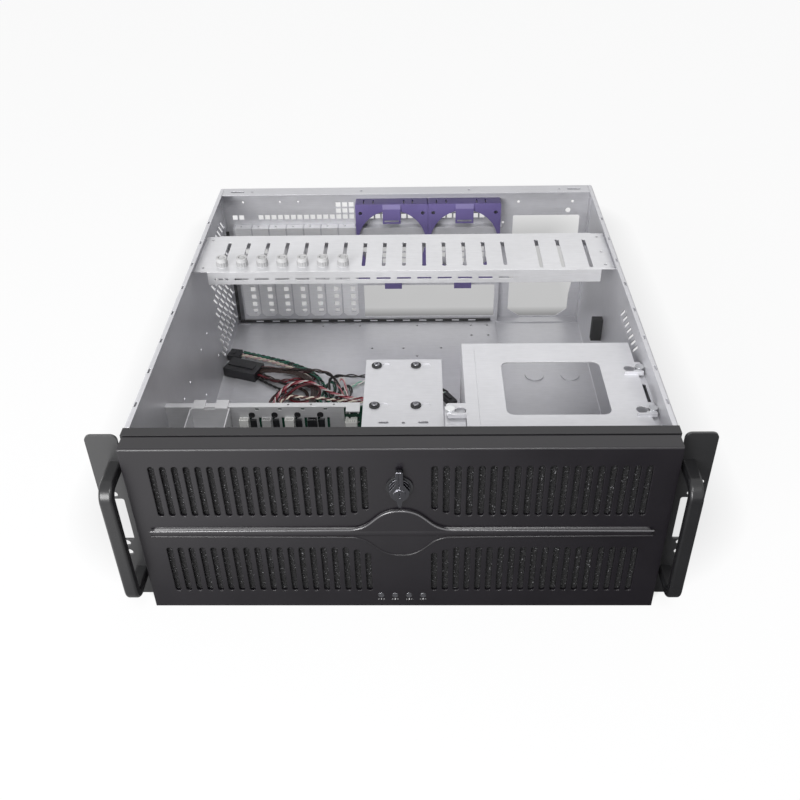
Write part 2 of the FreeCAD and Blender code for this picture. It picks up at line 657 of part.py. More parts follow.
# ---------------------------------------------------------------- card retainer bar and posts
def bar_slot_centres():
    return steps(BAR_SLOT_FIRST, SLOT_PITCH, BAR_SLOTS)


def bar_screws():
    edge = INNER - 10.5
    back = BAR_FRONT + BAR_DEPTH
    return [(edge, BAR_FRONT + 8), (edge, BAR_FRONT + 35), (edge, back - 8), (-edge, BAR_FRONT + 8), (-edge, back - 8)]


def card_retainer_bar():
    """Slotted bar across the case, with its front and back edges folded down."""
    back, t = BAR_FRONT + BAR_DEPTH, STEEL
    reach = INNER - 3.0
    plane = Plane("xy", BAR_BOTTOM)
    holes = [disc(plane, x, y, SCREW_RADIUS + RUNNING_GAP) for x, y in bar_screws()]
    half = BAR_SLOT_WIDTH / 2
    for i, x in enumerate(bar_slot_centres()):
        end = BAR_FRONT + 12 + (POST_TRAVEL if i < POST_COUNT else 46)
        holes.append(obround(plane, x - half, x + half, BAR_FRONT + 12 - half - 1, end + half))
    for to_wall in (74.5, 52.8, 25.3):
        x = INNER - to_wall
        holes.append(obround(plane, x - half, x + half, BAR_FRONT + 3, back - 13))
    top = sheet(plane, rectangle(plane, -reach, reach, BAR_FRONT, back), holes, t)
    dots = [(x, BAR_FRONT + 12 + 46 - 0.5) for x in bar_slot_centres()[POST_COUNT:]]
    dots += [(x, BAR_FRONT + 12 - half + 0.8) for x in bar_slot_centres()[POST_COUNT + 3:POST_COUNT + 6]]
    dots += [(INNER - to_wall, back - 13 - half) for to_wall in (74.5, 52.8)]
    top = without(top, [rod("z", dot, BAR_DOT_RADIUS, BAR_BOTTOM - 1, BAR_TOP + 1) for dot in dots])
    bottom = BAR_TOP - BAR_FLANGE
    notch = INNER - 16.0
    face = Plane("xz", BAR_FRONT - t)
    marks = [rectangle(face, x - 7, x + 7, BAR_TOP - 9.5, BAR_TOP - 7.3) for x in bar_slot_centres()]
    front = sheet(face, rectangle(face, -notch, notch, bottom, BAR_TOP), marks, t)
    rear = box(-notch, notch, back, back + t, bottom, BAR_TOP)
    return union([top, front, rear])


def hold_down_post(x):
    """Nylon post that stands on the bar, its neck in a slot, and the screw and plate that clamp it."""
    y = BAR_FRONT + 12
    neck = BAR_SLOT_WIDTH / 2 - 0.15
    post = rod("z", (x, y), POST_RADIUS, BAR_TOP, BAR_TOP + POST_HEIGHT)
    post = post.fuse(rod("z", (x, y), neck, BAR_BOTTOM - 0.8, BAR_TOP))
    post = without(post, [rod("z", (x, y), 3.4, BAR_TOP + POST_HEIGHT - 2, BAR_TOP + POST_HEIGHT + 1),
                          rod("z", (x, y), 1.05, BAR_BOTTOM - 2, BAR_TOP + POST_HEIGHT)])
    bolt = rod("z", (x, y), 2.6, BAR_TOP + POST_HEIGHT - 2, BAR_TOP + POST_HEIGHT - 0.4)
    bolt = bolt.fuse(rod("z", (x, y), 1.0, BAR_BOTTOM - 7, BAR_TOP + POST_HEIGHT - 2))
    foot = box(x - 4, x + 4, y - 5, y + 5, BAR_BOTTOM - 5.8, BAR_BOTTOM - 0.8)
    foot = foot.cut(rod("z", (x, y), 1.02, BAR_BOTTOM - 8, BAR_BOTTOM))
    return Part.makeCompound([post, bolt, foot])


# ---------------------------------------------------------------- front panel
def bay_opening():
    """Left, right, bottom and top of the opening for the three bay covers."""
    left = CAGE_LEFT + STEEL + SEAM
    return left, CAGE_LEFT + CAGE_WIDTH - STEEL - SEAM, BAY_BOTTOM, BAY_BOTTOM + BAY_COUNT * BAY_PITCH


def front_panel():
    """Black inner panel with its folded rim, bay openings, hinge tongues and lock keeper."""
    t = PANEL_SHEET
    plane = Plane("xz", 0)
    left, right, low, high = bay_opening()
    holes = [rectangle(plane, left, right, low, high)]
    holes.append(rectangle(plane, BRACKET_LEFT + 4, BRACKET_LEFT + BRACKET_WIDTH - 4, 22, BRACKET_TOP - 4, 2))
    for x in steps(17 - HALF, 14.2, 11):
        holes += [obround(plane, x - 4, x + 4, 20, BAND_Z - 5.8), obround(plane, x - 4, x + 4, BAND_Z + 6.2, CASE_HEIGHT - 16.5)]
    holes.append(disc(plane, POWER_X, BUTTON_Z, BUTTON_RADIUS + 0.3))
    holes.append(disc(plane, RESET_X, BUTTON_Z, BUTTON_RADIUS - 1.2))
    holes += [disc(plane, x, LAMP_Z, 1.5) for x in lamp_places()]
    face = sheet(plane, rectangle(plane, -HALF, HALF, 0.2, CASE_HEIGHT), holes, t)
    rim = [box(-HALF, HALF, t, PANEL_DEPTH, CASE_HEIGHT - STEEL, CASE_HEIGHT)]
    for s in (-1, 1):
        near, far = sorted((s * (INNER - SEAM), s * (INNER - SEAM - STEEL)))
        rim.append(box(near, far, t, PANEL_DEPTH, STEEL + BEND + SEAM, CASE_HEIGHT - STEEL))
    tongues = []
    for s in (-1, 1):
        side = Plane("yz", s * HINGE_X - TONGUE_WIDTH / 2)
        knuckle = HINGE_PIN_RADIUS + TONGUE_WALL
        arm = prism(side, outline(side, [(0.5, HINGE_Z - knuckle), (0.5, HINGE_Z + knuckle),
                                         (HINGE_Y - knuckle, HINGE_Z + knuckle, knuckle - 0.01),
                                         (HINGE_Y - knuckle, HINGE_Z - knuckle, knuckle - 0.01)]), TONGUE_WIDTH)
        tongues.append(arm.cut(rod("x", (HINGE_Y, HINGE_Z), HINGE_PIN_RADIUS + 0.02, s * HINGE_X - 9, s * HINGE_X + 9)))
    keeper_x = -CAM_LENGTH + 7
    cam_front = cam_back_y() - CAM_THICKNESS
    keeper = union([box(keeper_x - 7, keeper_x, cam_front - 2.4, 0, LOCK_Z - CAM_WIDTH / 2 - 3.4, LOCK_Z - CAM_WIDTH / 2 - 0.8),
                    box(keeper_x - 7, keeper_x, cam_front - 2.4, cam_front - 0.6, LOCK_Z - CAM_WIDTH / 2 - 3.4,
                        LOCK_Z + CAM_WIDTH / 2)])
    sleeve = ring("y", (POWER_X, BUTTON_Z), BUTTON_RADIUS + 2, BUTTON_RADIUS + 0.3, t - 0.5, t + 6)
    reset_sleeve = ring("y", (RESET_X, BUTTON_Z), BUTTON_RADIUS + 0.5, BUTTON_RADIUS - 1.2, t - 0.5, t + 6)
    return Part.makeCompound([union([face] + rim + tongues + [sleeve, reset_sleeve]), keeper])


def lamp_places():
    return [LAMP_PITCH * (i - (LAMP_COUNT - 1) / 2) for i in range(LAMP_COUNT)]


def cam_back_y():
    return DOOR_BACK_Y - 1.2


def bay_cover(index):
    """Blanking cover of one bay, with the two clips that reach back into the cage."""
    left, right, low, high = bay_opening()
    z0 = low + index * BAY_PITCH + SEAM / 2
    z1 = z0 + BAY_PITCH - SEAM
    left, right = left + SEAM, right - SEAM
    tray = box(left, right, 0.2, 8, z0, z1).cut(box(left + 2, right - 2, 2.2, 9, z0 + 2, z1 - 2))
    grip = prism(Plane("xz", -0.2), rectangle(Plane("xz", -0.2), left + 52, right - 52, z0 + 5, z0 + 9, 1.9), 1.4)
    clips = [box(x, x + 1.6, 7, 26, z0 + 12, z1 - 12) for x in (left + 0.2, right - 1.8)]
    return union([tray.cut(grip)] + clips)


def push_button(x, radius):
    """Button with the collar that stops it behind the panel."""
    collar_y = PANEL_SHEET + 6
    return union([rod("y", (x, BUTTON_Z), radius - 0.2, -0.4, collar_y + 1.6),
                  rod("y", (x, BUTTON_Z), radius + 1.2, collar_y + 0.05, collar_y + 1.6)])


def button_board():
    """Small switch board behind both buttons, on two stand-offs from the panel."""
    y = PANEL_SHEET + 6 + 1.6 + BUTTON_STROKE + 2.5
    plate = box(POWER_X - 12, RESET_X + 12, y, y + BOARD_THICKNESS, BUTTON_Z - 9, BUTTON_Z + 9)
    posts = [rod("y", (x, BUTTON_Z), 2, PANEL_SHEET, y) for x in ((POWER_X + RESET_X) / 2 - 2, )]
    return union([plate] + posts)


# ---------------------------------------------------------------- door
def door_section(plane, inset):
    """Side view of the door's shell; inset is 0 outside and the wall's thickness inside."""
    front, back = DOOR_FRONT_Y, DOOR_BACK_Y
    if inset == 0:
        radius = HINGE_REACH
        return outline(plane, [(front, DOOR_BOTTOM, 1.2), (back, DOOR_BOTTOM, radius - 0.01), (back, DOOR_TOP, 0.6),
                               (front, DOOR_TOP, 1.6)])
    front, low = front + DOOR_SKIN, DOOR_BOTTOM + inset
    radius = HINGE_Z - low
    rear = back - inset
    step = LAMP_Z + 3.6
    return outline(plane, [(front, low), (rear, low, radius - 0.01), (rear, step), (back + 1, step),
                           (back + 1, DOOR_TOP - inset), (front, DOOR_TOP - inset)])


def door_slots(plane):
    """Rows of vent slots; those next to the middle are cut shorter by the raised lens."""
    wires = []
    half, width = DOOR_SLOT_LENGTH / 2, DOOR_SLOT_WIDTH / 2
    shorter = {0: 6.5, 1: 2.6}
    for i in range(DOOR_SLOTS):
        for s in (-1, 1):
            x = s * (DOOR_SLOT_FIRST + DOOR_SLOT_PITCH * i)
            upper, lower = BAND_Z + DOOR_ROW_OFFSET, BAND_Z - DOOR_ROW_OFFSET
            wires.append(obround(plane, x - width, x + width, upper - half + shorter.get(i, 0), upper + half))
            wires.append(obround(plane, x - width, x + width, lower - half, lower + half - shorter.get(i, 0)))
    return wires


def front_door():
    """Moulded door: slotted front, rim, raised band and lens, hinge knuckles and lock hole."""
    half = DOOR_WIDTH / 2
    side = Plane("yz", -half)
    shell = prism(side, door_section(side, 0), DOOR_WIDTH)
    inner_side = Plane("yz", -half + DOOR_WALL)
    shell = shell.cut(prism(inner_side, door_section(inner_side, 2.5), DOOR_WIDTH - 2 * DOOR_WALL))
    cutter = Plane("xz", DOOR_FRONT_Y - 1)
    shell = without(shell, [prism(cutter, wire, DOOR_SKIN + 1.5) for wire in door_slots(cutter)])
    shell = union([shell, band(), lens()])
    knuckles, notches = [], []
    for s in (-1, 1):
        clear = TONGUE_WIDTH / 2 + 0.5
        for side_sign in (-1, 1):
            start = s * HINGE_X + side_sign * clear
            near, far = sorted((start, start + side_sign * 9.0))
            knuckles.append(rod("x", (HINGE_Y, HINGE_Z), HINGE_KNUCKLE_RADIUS, near, far))
        notches.append(box(s * HINGE_X - clear, s * HINGE_X + clear, DOOR_INNER_Y, DOOR_BACK_Y + 1, DOOR_BOTTOM - 1,
                           HINGE_Z + HINGE_PIN_RADIUS + TONGUE_WALL + 0.6))
    shell = union([shell] + knuckles)
    pin_length = 2 * (TONGUE_WIDTH / 2 + 0.5 + 9.0)
    bores = [rod("x", (HINGE_Y, HINGE_Z), HINGE_PIN_RADIUS + RUNNING_GAP, s * HINGE_X - pin_length / 2 - 1,
                 s * HINGE_X + pin_length / 2 + 1) for s in (-1, 1)]
    front = DOOR_FRONT_Y - 4
    bores.append(rod("y", (0, LOCK_Z), SPINDLE_RADIUS + RUNNING_GAP, front, DOOR_INNER_Y + 1))
    bores += [rod("y", (x, LAMP_Z), LAMP_RADIUS + RUNNING_GAP, front, DOOR_INNER_Y + 1) for x in lamp_places()]
    return without(without(shell, notches), bores)


def band():
    """Half-round ridge that runs across the door."""
    height, rise = BAND_HALF_HEIGHT, BAND_RISE
    radius = (height ** 2 + rise ** 2) / (2 * rise)
    axis = DOOR_FRONT_Y - rise + radius
    cylinder = rod("x", (axis, BAND_Z), radius, -BAND_HALF_LENGTH, BAND_HALF_LENGTH)
    keep = Plane("xz", DOOR_FRONT_Y - rise - 1)
    reach, half = BAND_HALF_LENGTH, height
    return cylinder.common(prism(keep, obround(keep, -reach, reach, BAND_Z - half, BAND_Z + half), rise + 2))


def lens():
    """Raised eye in the middle of the band, its outline an S-curve from the band to its full height."""
    plane = Plane("xz", DOOR_FRONT_Y - LENS_RISE)
    top = LENS_HALF_HEIGHT
    reach, low = LENS_HALF_LENGTH, BAND_HALF_HEIGHT - 1.0
    waist = 0.55 * reach
    knots = [Vector(reach, 0, low), Vector(waist, 0, (top + low) / 2 - 1), Vector(0, 0, top)]
    quarter = Part.BSplineCurve()
    quarter.interpolate(Points=knots, Tangents=[Vector(-1, 0, 0.05), Vector(-0.7, 0, 0.75), Vector(-1, 0, 0)],
                        TangentFlags=[True, True, True])
    edge = quarter.toShape()
    edge.translate(Vector(0, plane.level, BAND_Z))
    left = edge.mirror(Vector(0, 0, 0), Vector(1, 0, 0))
    lower = [piece.mirror(Vector(0, 0, BAND_Z), Vector(0, 0, 1)) for piece in (edge, left)]
    ends = [Part.makeLine(plane.at(s * reach, BAND_Z + low), plane.at(s * reach, BAND_Z - low)) for s in (-1, 1)]
    wire = Part.Wire(Part.__sortEdges__([edge, left] + lower + ends))
    return Part.Face(wire).extrude(Vector(0, LENS_RISE + 0.5, 0))


def foam_filter(s):
    left, right = sorted((s * FOAM_INNER, s * FOAM_OUTER))
    return box(left, right, DOOR_INNER_Y, DOOR_INNER_Y + FOAM, FOAM_BOTTOM, FOAM_TOP)


def filter_frame():
    """Open grid that holds both foams against the door."""
    y = DOOR_INNER_Y + FOAM
    plane = Plane("xz", y)
    rim = 6.0
    outer = rectangle(plane, -FOAM_OUTER - 9, FOAM_OUTER + 9, FOAM_BOTTOM, FOAM_TOP + 8)
    windows = [rectangle(plane, -FOAM_INNER + 1, FOAM_INNER - 1, FOAM_BOTTOM + rim, FOAM_TOP - 1)]
    cells = 3
    span = (FOAM_OUTER - FOAM_INNER - rim) / cells
    for s in (-1, 1):
        for i in range(cells):
            a = FOAM_INNER + rim + i * span
            left, right = sorted((s * a, s * (a + span - rim)))
            windows.append(rectangle(plane, left, right, FOAM_BOTTOM + rim, FOAM_TOP - rim))
    return sheet(plane, outer, windows, FRAME_THICKNESS)


def lock_bezel():
    return ring("y", (0, LOCK_Z), BEZEL_RADIUS, BEZEL_RADIUS - BEZEL_WIDTH, DOOR_FRONT_Y - BEZEL_RISE, DOOR_FRONT_Y)


def lock_knob():
    """Turning grip with its round key face, pointed tail and spindle."""
    front = DOOR_FRONT_Y - BEZEL_RISE - SEAM - KNOB_RISE
    plane = Plane("xz", front)
    grip, barrel = KNOB_GRIP_WIDTH / 2, KNOB_BARREL_RADIUS
    z = LOCK_Z
    right = [(grip, z + KNOB_TOP, 1.2), (grip, z + 6.5, 3), (barrel + 0.6, z - 0.5, 1), (barrel - 0.5, z - 6.5, 3), (2.2, z - 11, 2),
             (0.9, z - KNOB_TAIL)]
    left = [(-u, *rest) for u, *rest in reversed(right)]
    body = prism(plane, outline(plane, right + left), KNOB_RISE)
    groove = box(-0.45, 0.45, front - 1, front + 1.6, z + 4, z + KNOB_TOP - 1.5)
    key_face = rod("y", (0, z - 3), 4.6, front - 0.8, front + 1)
    keyhole = box(-0.6, 0.6, front - 2, front + 1.2, z - 6, z)
    hub = rod("y", (0, z), BEZEL_RADIUS - BEZEL_WIDTH - 0.2, front + KNOB_RISE - 0.5, DOOR_FRONT_Y - SEAM)
    spindle = rod("y", (0, z), SPINDLE_RADIUS, front + KNOB_RISE - 1, cam_back_y() - CAM_THICKNESS)
    return without(union([body, key_face, hub, spindle]), [groove, keyhole])


def lock_cam():
    plane = Plane("xz", cam_back_y() - CAM_THICKNESS)
    half = CAM_WIDTH / 2
    return prism(plane, outline(plane, [(-half, LOCK_Z - half, half - 0.01), (half, LOCK_Z - half, half - 0.01),
                                        (half, LOCK_Z + CAM_LENGTH, 1.5), (-half, LOCK_Z + CAM_LENGTH, 1.5)]), CAM_THICKNESS)


def led_lenses():
    return Part.makeCompound([rod("y", (x, LAMP_Z), LAMP_RADIUS, DOOR_FRONT_Y - 0.5, DOOR_INNER_Y + 2) for x in lamp_places()])


def hinge_pins():
    reach = TONGUE_WIDTH / 2 + 0.5 + 8.0
    return Part.makeCompound([rod("x", (HINGE_Y, HINGE_Z), HINGE_PIN_RADIUS, s * HINGE_X - reach, s * HINGE_X + reach)
                              for s in (-1, 1)])


# ---------------------------------------------------------------- ears and handles
def ear_screws():
    """Places (y, z) of the screws that hold an ear to a side wall."""
    middle = (EAR_FLANGE_BOTTOM + EAR_FLANGE_TOP) / 2
    reach = (EAR_FLANGE_TOP - EAR_FLANGE_BOTTOM) / 2 - EAR_SCREW_MARGIN
    return [(EAR_FLANGE_DEPTH - 10, middle + offset) for offset in (-reach, 0, reach)]


def handle_screws():
    """Places (x, z) of the screws that hold the right handle to its ear."""
    middle = CASE_HEIGHT / 2
    offset = HANDLE_HEIGHT / 2 - HANDLE_BAR / 2
    return [(HANDLE_X, middle - offset), (HANDLE_X, middle + offset)]


def rack_slots():
    middle = CASE_HEIGHT / 2
    x = RACK_EDGE - RACK_SLOT_INSET
    return [(x, middle + sign * pitch / 2) for pitch in (RACK_SLOT_PITCH, RACK_INNER_PITCH) for sign in (-1, 1)]


def ear_right():
    """Right rack ear: plate with rounded corners, window and slots, and the flange behind it."""
    plane = Plane("xz", 0)
    edge, top = RACK_EDGE, CASE_HEIGHT
    inside = HALF + EAR_SHEET + 1
    middle = CASE_HEIGHT / 2
    holes = [rectangle(plane, EAR_WINDOW_LEFT, EAR_WINDOW_RIGHT, middle - EAR_WINDOW_HEIGHT / 2, middle + EAR_WINDOW_HEIGHT / 2, 2)]
    length, width = RACK_SLOT_LENGTH / 2, RACK_SLOT_WIDTH / 2
    holes += [obround(plane, x - length, x + length, z - width, z + width) for x, z in rack_slots()]
    holes += [disc(plane, x, z, SCREW_RADIUS + RUNNING_GAP) for x, z in handle_screws()]
    outer = outline(plane, [(edge, 0, EAR_CORNER), (edge, top, EAR_CORNER), (inside, top, EAR_CORNER), (inside, EAR_FLANGE_TOP),
                            (HALF, EAR_FLANGE_TOP), (HALF, EAR_FLANGE_BOTTOM), (inside, EAR_FLANGE_BOTTOM), (inside, 0, 3)])
    plate = sheet(plane, outer, holes, EAR_SHEET)
    side = Plane("yz", HALF)
    screw_holes = [disc(side, y, z, SCREW_RADIUS + RUNNING_GAP) for y, z in ear_screws()]
    flange = sheet(side, outline(side, [(0, EAR_FLANGE_BOTTOM), (EAR_FLANGE_DEPTH, EAR_FLANGE_BOTTOM, 4),
                                        (EAR_FLANGE_DEPTH, EAR_FLANGE_TOP, 4), (0, EAR_FLANGE_TOP)]), screw_holes, EAR_SHEET)
    return union([plate, flange])


def handle_right():
    """Right handle: a flat bar bent to a U, with softened edges."""
    middle, half = CASE_HEIGHT / 2, HANDLE_HEIGHT / 2
    side = Plane("yz", HANDLE_X - HANDLE_WIDTH / 2)
    bar, bend = HANDLE_BAR, HANDLE_BEND
    low, high = middle - half, middle + half
    path = [(0, low), (-HANDLE_REACH, low, bend), (-HANDLE_REACH, high, bend), (0, high), (0, high - bar),
            (-HANDLE_REACH + bar, high - bar, bend - bar), (-HANDLE_REACH + bar, low + bar, bend - bar), (0, low + bar)]
    solid = prism(side, outline(side, path), HANDLE_WIDTH)
    long_edges = [edge for edge in solid.Edges if all(abs(abs(v.X - HANDLE_X) - HANDLE_WIDTH / 2) < 1e-6 for v in edge.Vertexes)
                  and abs(edge.Vertexes[0].X - edge.Vertexes[-1].X) < 1e-6 and edge.BoundBox.YMin < -0.5]
    solid = solid.makeFillet(HANDLE_EDGE, long_edges)
    return without(solid, [rod("y", place, SCREW_RADIUS + RUNNING_GAP, -12, 1) for place in handle_screws()])


def front_screws():
    """Screws of both ears and handles."""
    shapes = []
    for y, z in ear_screws():
        shapes.append(screw("x", (y, z), HALF + EAR_SHEET, EAR_SHEET + STEEL + 2, 1))
    for x, z in handle_screws():
        shapes.append(screw("y", (x, z), EAR_SHEET, EAR_SHEET + 9, 1))
    return Part.makeCompound(shapes + [mirrored(shape) for shape in shapes])


# ---------------------------------------------------------------- bay cage, bracket and backplane
def hanger_places():
    """Centres (x, y) of the hangers that carry the cage, with the side each ear points to."""
    right = CAGE_LEFT + CAGE_WIDTH
    return [(right + 2.4, FRONT_EAR_Y + 11, 1), (right + 2.4, REAR_EAR_Y + 11, 1), (CAGE_LEFT - 13.2, FRONT_EAR_Y + 11, -1)]


def bay_cage():
    """5.25 inch cage: windowed top with three hanging ears, and two slotted side walls."""
    t = STEEL
    right = CAGE_LEFT + CAGE_WIDTH
    plane = Plane("xy", CAGE_TOP - t)
    front = PANEL_SHEET + 9
    x0, x1, y0, y1 = CAGE_WINDOW
    window = rectangle(plane, CAGE_LEFT + x0, CAGE_LEFT + x1, y0, y1, WINDOW_CORNER)
    holes = [window]
    top = sheet(plane, rectangle(plane, CAGE_LEFT, right, front, CAGE_BACK), holes, t)
    ears = []
    for x, y, side in hanger_places():
        reach = x + side * 3.0
        edge = right if side > 0 else CAGE_LEFT
        near, far = sorted((edge - side * 14, reach))
        ear = sheet(plane, rectangle(plane, near, far, y - 9, y + EAR_LENGTH - 9, 2.5), [], t)
        lip_start = edge - 12 if side > 0 else edge
        lip_near, lip_far = sorted((lip_start, reach - side * 1))
        ears += [ear, box(lip_near, lip_far, y - 9 - t, y - 9, CAGE_TOP - t, CAGE_TOP + 3)]
    body = union([top] + ears)
    keyholes = []
    for x, y, side in hanger_places():
        inward = x - side * 9.0
        keyholes += [rod("z", (inward, y - 1), KEYHOLE_MOUTH, CAGE_TOP - 5, CAGE_TOP + 5),
                     box(min(inward, x), max(inward, x), y - 3.3, y + 1.3, CAGE_TOP - 5, CAGE_TOP + 2),
                     rod("z", (x, y - 1), 2.3, CAGE_TOP - 5, CAGE_TOP + 2)]
    seam_x = CAGE_LEFT + CAGE_SEAM_X
    seam = box(seam_x - 0.25, seam_x + 0.25, front + 8, CAGE_BACK - 8, CAGE_TOP - 0.35, CAGE_TOP + 1)
    body = body.cut(union(keyholes)).cut(seam)
    walls = []
    for x in (CAGE_LEFT, right - t):
        side_plane = Plane("yz", x)
        slots = []
        for bay in range(BAY_COUNT):
            z = BAY_BOTTOM + BAY_PITCH * bay
            for drop in (BAY_HOLE_DROP, BAY_HOLE_DROP + BAY_HOLE_RISE):
                slots += [obround(side_plane, y - 6, y + 6, z + drop - 1.8, z + drop + 1.8) for y in
                          (BAY_HOLE_Y, BAY_HOLE_Y + BAY_HOLE_SPACING)]
        walls.append(sheet(side_plane, rectangle(side_plane, front, CAGE_BACK, t, CAGE_TOP - t), slots, t))
    feet = [box(CAGE_LEFT - CAGE_FOOT, CAGE_LEFT + t, front + 10, CAGE_BACK - 10, t, 2 * t)]
    return union([body] + walls + feet)


def cage_rail_right():
    """Shelf on the right wall that carries two of the cage's hangers."""
    t = STEEL
    x0 = CAGE_LEFT + CAGE_WIDTH + 0.4
    plane = Plane("xy", CAGE_TOP - 2 * t - RAIL_DROP)
    holes = [rectangle(plane, x0 + 1.2, x0 + 4.0, FRONT_EAR_Y + 19, REAR_EAR_Y - 9)]
    shelf = sheet(plane, rectangle(plane, x0, INNER, 30, REAR_EAR_Y + 22), holes, t)
    return union([shelf, box(INNER - t, INNER, 30, REAR_EAR_Y + 22, plane.level - 12, plane.level + t)])


def cage_rail_left():
    """Bracket behind the front panel that carries the left hanger."""
    t = STEEL
    level = CAGE_TOP - 2 * t - RAIL_DROP
    right = CAGE_LEFT - 0.4
    left = CAGE_LEFT - 17.5
    shelf = box(left, right, PANEL_SHEET, FRONT_EAR_Y + 20, level, level + t)
    back = box(left, right, PANEL_SHEET, PANEL_SHEET + t, level - 14, level + t)
    web = box(right - t, right, PANEL_SHEET, FRONT_EAR_Y + 20, level - 14, level + t)
    return union([shelf, back, web])


def cage_hangers():
    """Headed studs that stand on the rails and pass through the cage's keyholes."""
    level = CAGE_TOP - STEEL - RAIL_DROP
    shapes = []
    for x, y, side in hanger_places():
        stem = rod("z", (x, y - 1), 2.0, level, CAGE_TOP + 0.8)
        collar = rod("z", (x, y - 1), HANGER_COLLAR, level, CAGE_TOP - STEEL)
        collar = collar.cut(box(CAGE_LEFT, CAGE_LEFT + CAGE_WIDTH + 0.15, y - 9, y + 9, level - 1, CAGE_TOP))
        shapes.append(union([stem, collar, rod("z", (x, y - 1), HANGER_RADIUS, CAGE_TOP, CAGE_TOP + 2.2)]))
    return Part.makeCompound(shapes)


def keyhole_places():
    return [(KEYHOLE_X + i * KEYHOLE_SPACING_X, KEYHOLE_Y + j * KEYHOLE_SPACING_Y) for i in (0, 1) for j in (0, 1)]


def drive_bracket():
    """Centre bracket: top plate with four keyholes on two folded legs with feet."""
    t = STEEL
    left, right = BRACKET_LEFT, BRACKET_LEFT + BRACKET_WIDTH
    front = PANEL_SHEET + 9
    plane = Plane("xy", BRACKET_TOP - t)
    holes = []
    for x, y in keyhole_places():
        holes.append(disc(plane, x, y, GROMMET_RADIUS - 1.2))
    holes += [obround(plane, x - 4.5, x + 4.5, KEYHOLE_Y - 25.6, KEYHOLE_Y - 22.6) for x in (left + 19, left + 53.6)]
    holes.append(disc(plane, left + 36.4, KEYHOLE_Y - 24.5, 1.6))
    top = sheet(plane, rectangle(plane, left, right, front, BRACKET_BACK), holes, t)
    pocket = Plane("xy", BRACKET_TOP - 0.6)
    pockets = [obround(pocket, x + GROMMET_RADIUS - 0.2, x + GROMMET_RADIUS + 9, y - 4, y + 4)
               for x, y in keyhole_places()]
    top = without(top, [prism(pocket, wire, 2) for wire in pockets])
    legs = [box(left, left + t, front, BRACKET_BACK, t, BRACKET_TOP - t), box(right - t, right, front, BRACKET_BACK, t, BRACKET_TOP - t)]
    foot_back = FIELD_FRONT - 6
    feet = [box(left, left + 12, front + 10, foot_back, t, 2 * t), box(right - 12, right, front + 10, foot_back, t, 2 * t)]
    trim = box(left - 1, right + 1, FIELD_FRONT - 1, BRACKET_BACK + 1, 0, FIELD_TOP + 1)
    return without(union([top] + legs + feet), [trim])


def bracket_grommets():
    """Rubber bushes that sit in the bracket's keyholes."""
    shapes = []
    for x, y in keyhole_places():
        low, high = BRACKET_TOP - STEEL, BRACKET_TOP
        groove = GROMMET_RADIUS - 1.2 - RUNNING_GAP
        solid = union([rod("z", (x, y), GROMMET_RADIUS, high, high + 1.2), rod("z", (x, y), groove, low, high),
                       rod("z", (x, y), GROMMET_RADIUS, low - 1.2, low)])
        shapes.append(solid.cut(rod("z", (x, y), SCREW_RADIUS, low - 3, high + 3)))
    return Part.makeCompound(shapes)


def port_box_right():
    return PORT_BOX_LEFT + PORT_BOX_WIDTH


def backplane_rail():
    """Upright plate behind the left bays, with its top flange folded back."""
    t = STEEL
    plane = Plane("xz", RAIL_Y)
    holes = []
    for x in drive_places():
        holes += [disc(plane, x, RAIL_TOP - 8.8, 1.7), rectangle(plane, x - 2.6, x - 0.4, 60, RAIL_TOP - 12),
                  rectangle(plane, x + 5.8, x + 8.2, 60, RAIL_TOP - 12),
                  rectangle(plane, x + 3.2, x + 7.0, RAIL_TOP - STEEL - 2.6, RAIL_TOP - STEEL - 0.6, 0.9)]
    floor = STEEL
    edge = outline(plane, [(-INNER, floor, BEND + 0.1), (PLATE_END, floor), (PLATE_END, RAIL_TOP), (-INNER, RAIL_TOP)])
    plate = sheet(plane, edge, holes, t)
    top = Plane("xy", RAIL_TOP - t)
    flange_holes = [disc(top, x + 12.5, RAIL_Y + 3.6, 1.1) for x in drive_places()[1:]]
    flange = sheet(top, rectangle(top, -INNER, RAIL_END, RAIL_Y, RAIL_Y + RAIL_FLANGE), flange_holes, t)
    wide = box(PLATE_END + 2.2, RAIL_END, RAIL_Y - 7, RAIL_Y + 1, RAIL_TOP - t, RAIL_TOP)
    foot = box(-INNER + BEND + 0.1, PLATE_END, RAIL_Y, RAIL_Y + 10, floor, floor + t)
    return union([plate, flange, wide, foot])


def drive_places():
    return steps(DRIVE_FIRST, DRIVE_PITCH, DRIVE_COUNT)


def backplane_board():
    """Circuit board behind the plate; its end stands clear of it on the right."""
    y = RAIL_Y + STEEL + 1.0
    board = box(port_box_right() + 2, BRACKET_LEFT - 0.5, y, y + BOARD_THICKNESS, 20, RAIL_TOP - STEEL - 0.6)
    spacers = [rod("y", (x, z), 2, RAIL_Y + STEEL, y) for x in (port_box_right() + 8, PLATE_END - 6) for z in (28, 100)]
    return union([board] + spacers)


def backplane_connectors():
    """Drive sockets that stand through the plate's slots, and the lead sockets behind the board."""
    front = RAIL_Y - 5
    shapes = [box(x - 11.4, x - 3.2, front, RAIL_Y, 78, RAIL_TOP - 11.6) for x in drive_places()]
    back = RAIL_Y + STEEL + 1.0 + BOARD_THICKNESS
    shapes += [box(x - 4.5, x + 4.5, back, back + SOCKET_DEPTH, SOCKET_Z - 4.5, SOCKET_Z + 4.5) for x in socket_places()]
    shapes.append(box(PLATE_END + 1, RAIL_END - 3, RAIL_Y - 6, RAIL_Y + STEEL + 1.0, 84, RAIL_TOP - 13.5))
    return Part.makeCompound(shapes)


def socket_places():
    """Centres of the lead sockets on the back of the board."""
    return steps(SOCKET_FIRST, SOCKET_PITCH, SOCKET_COUNT)


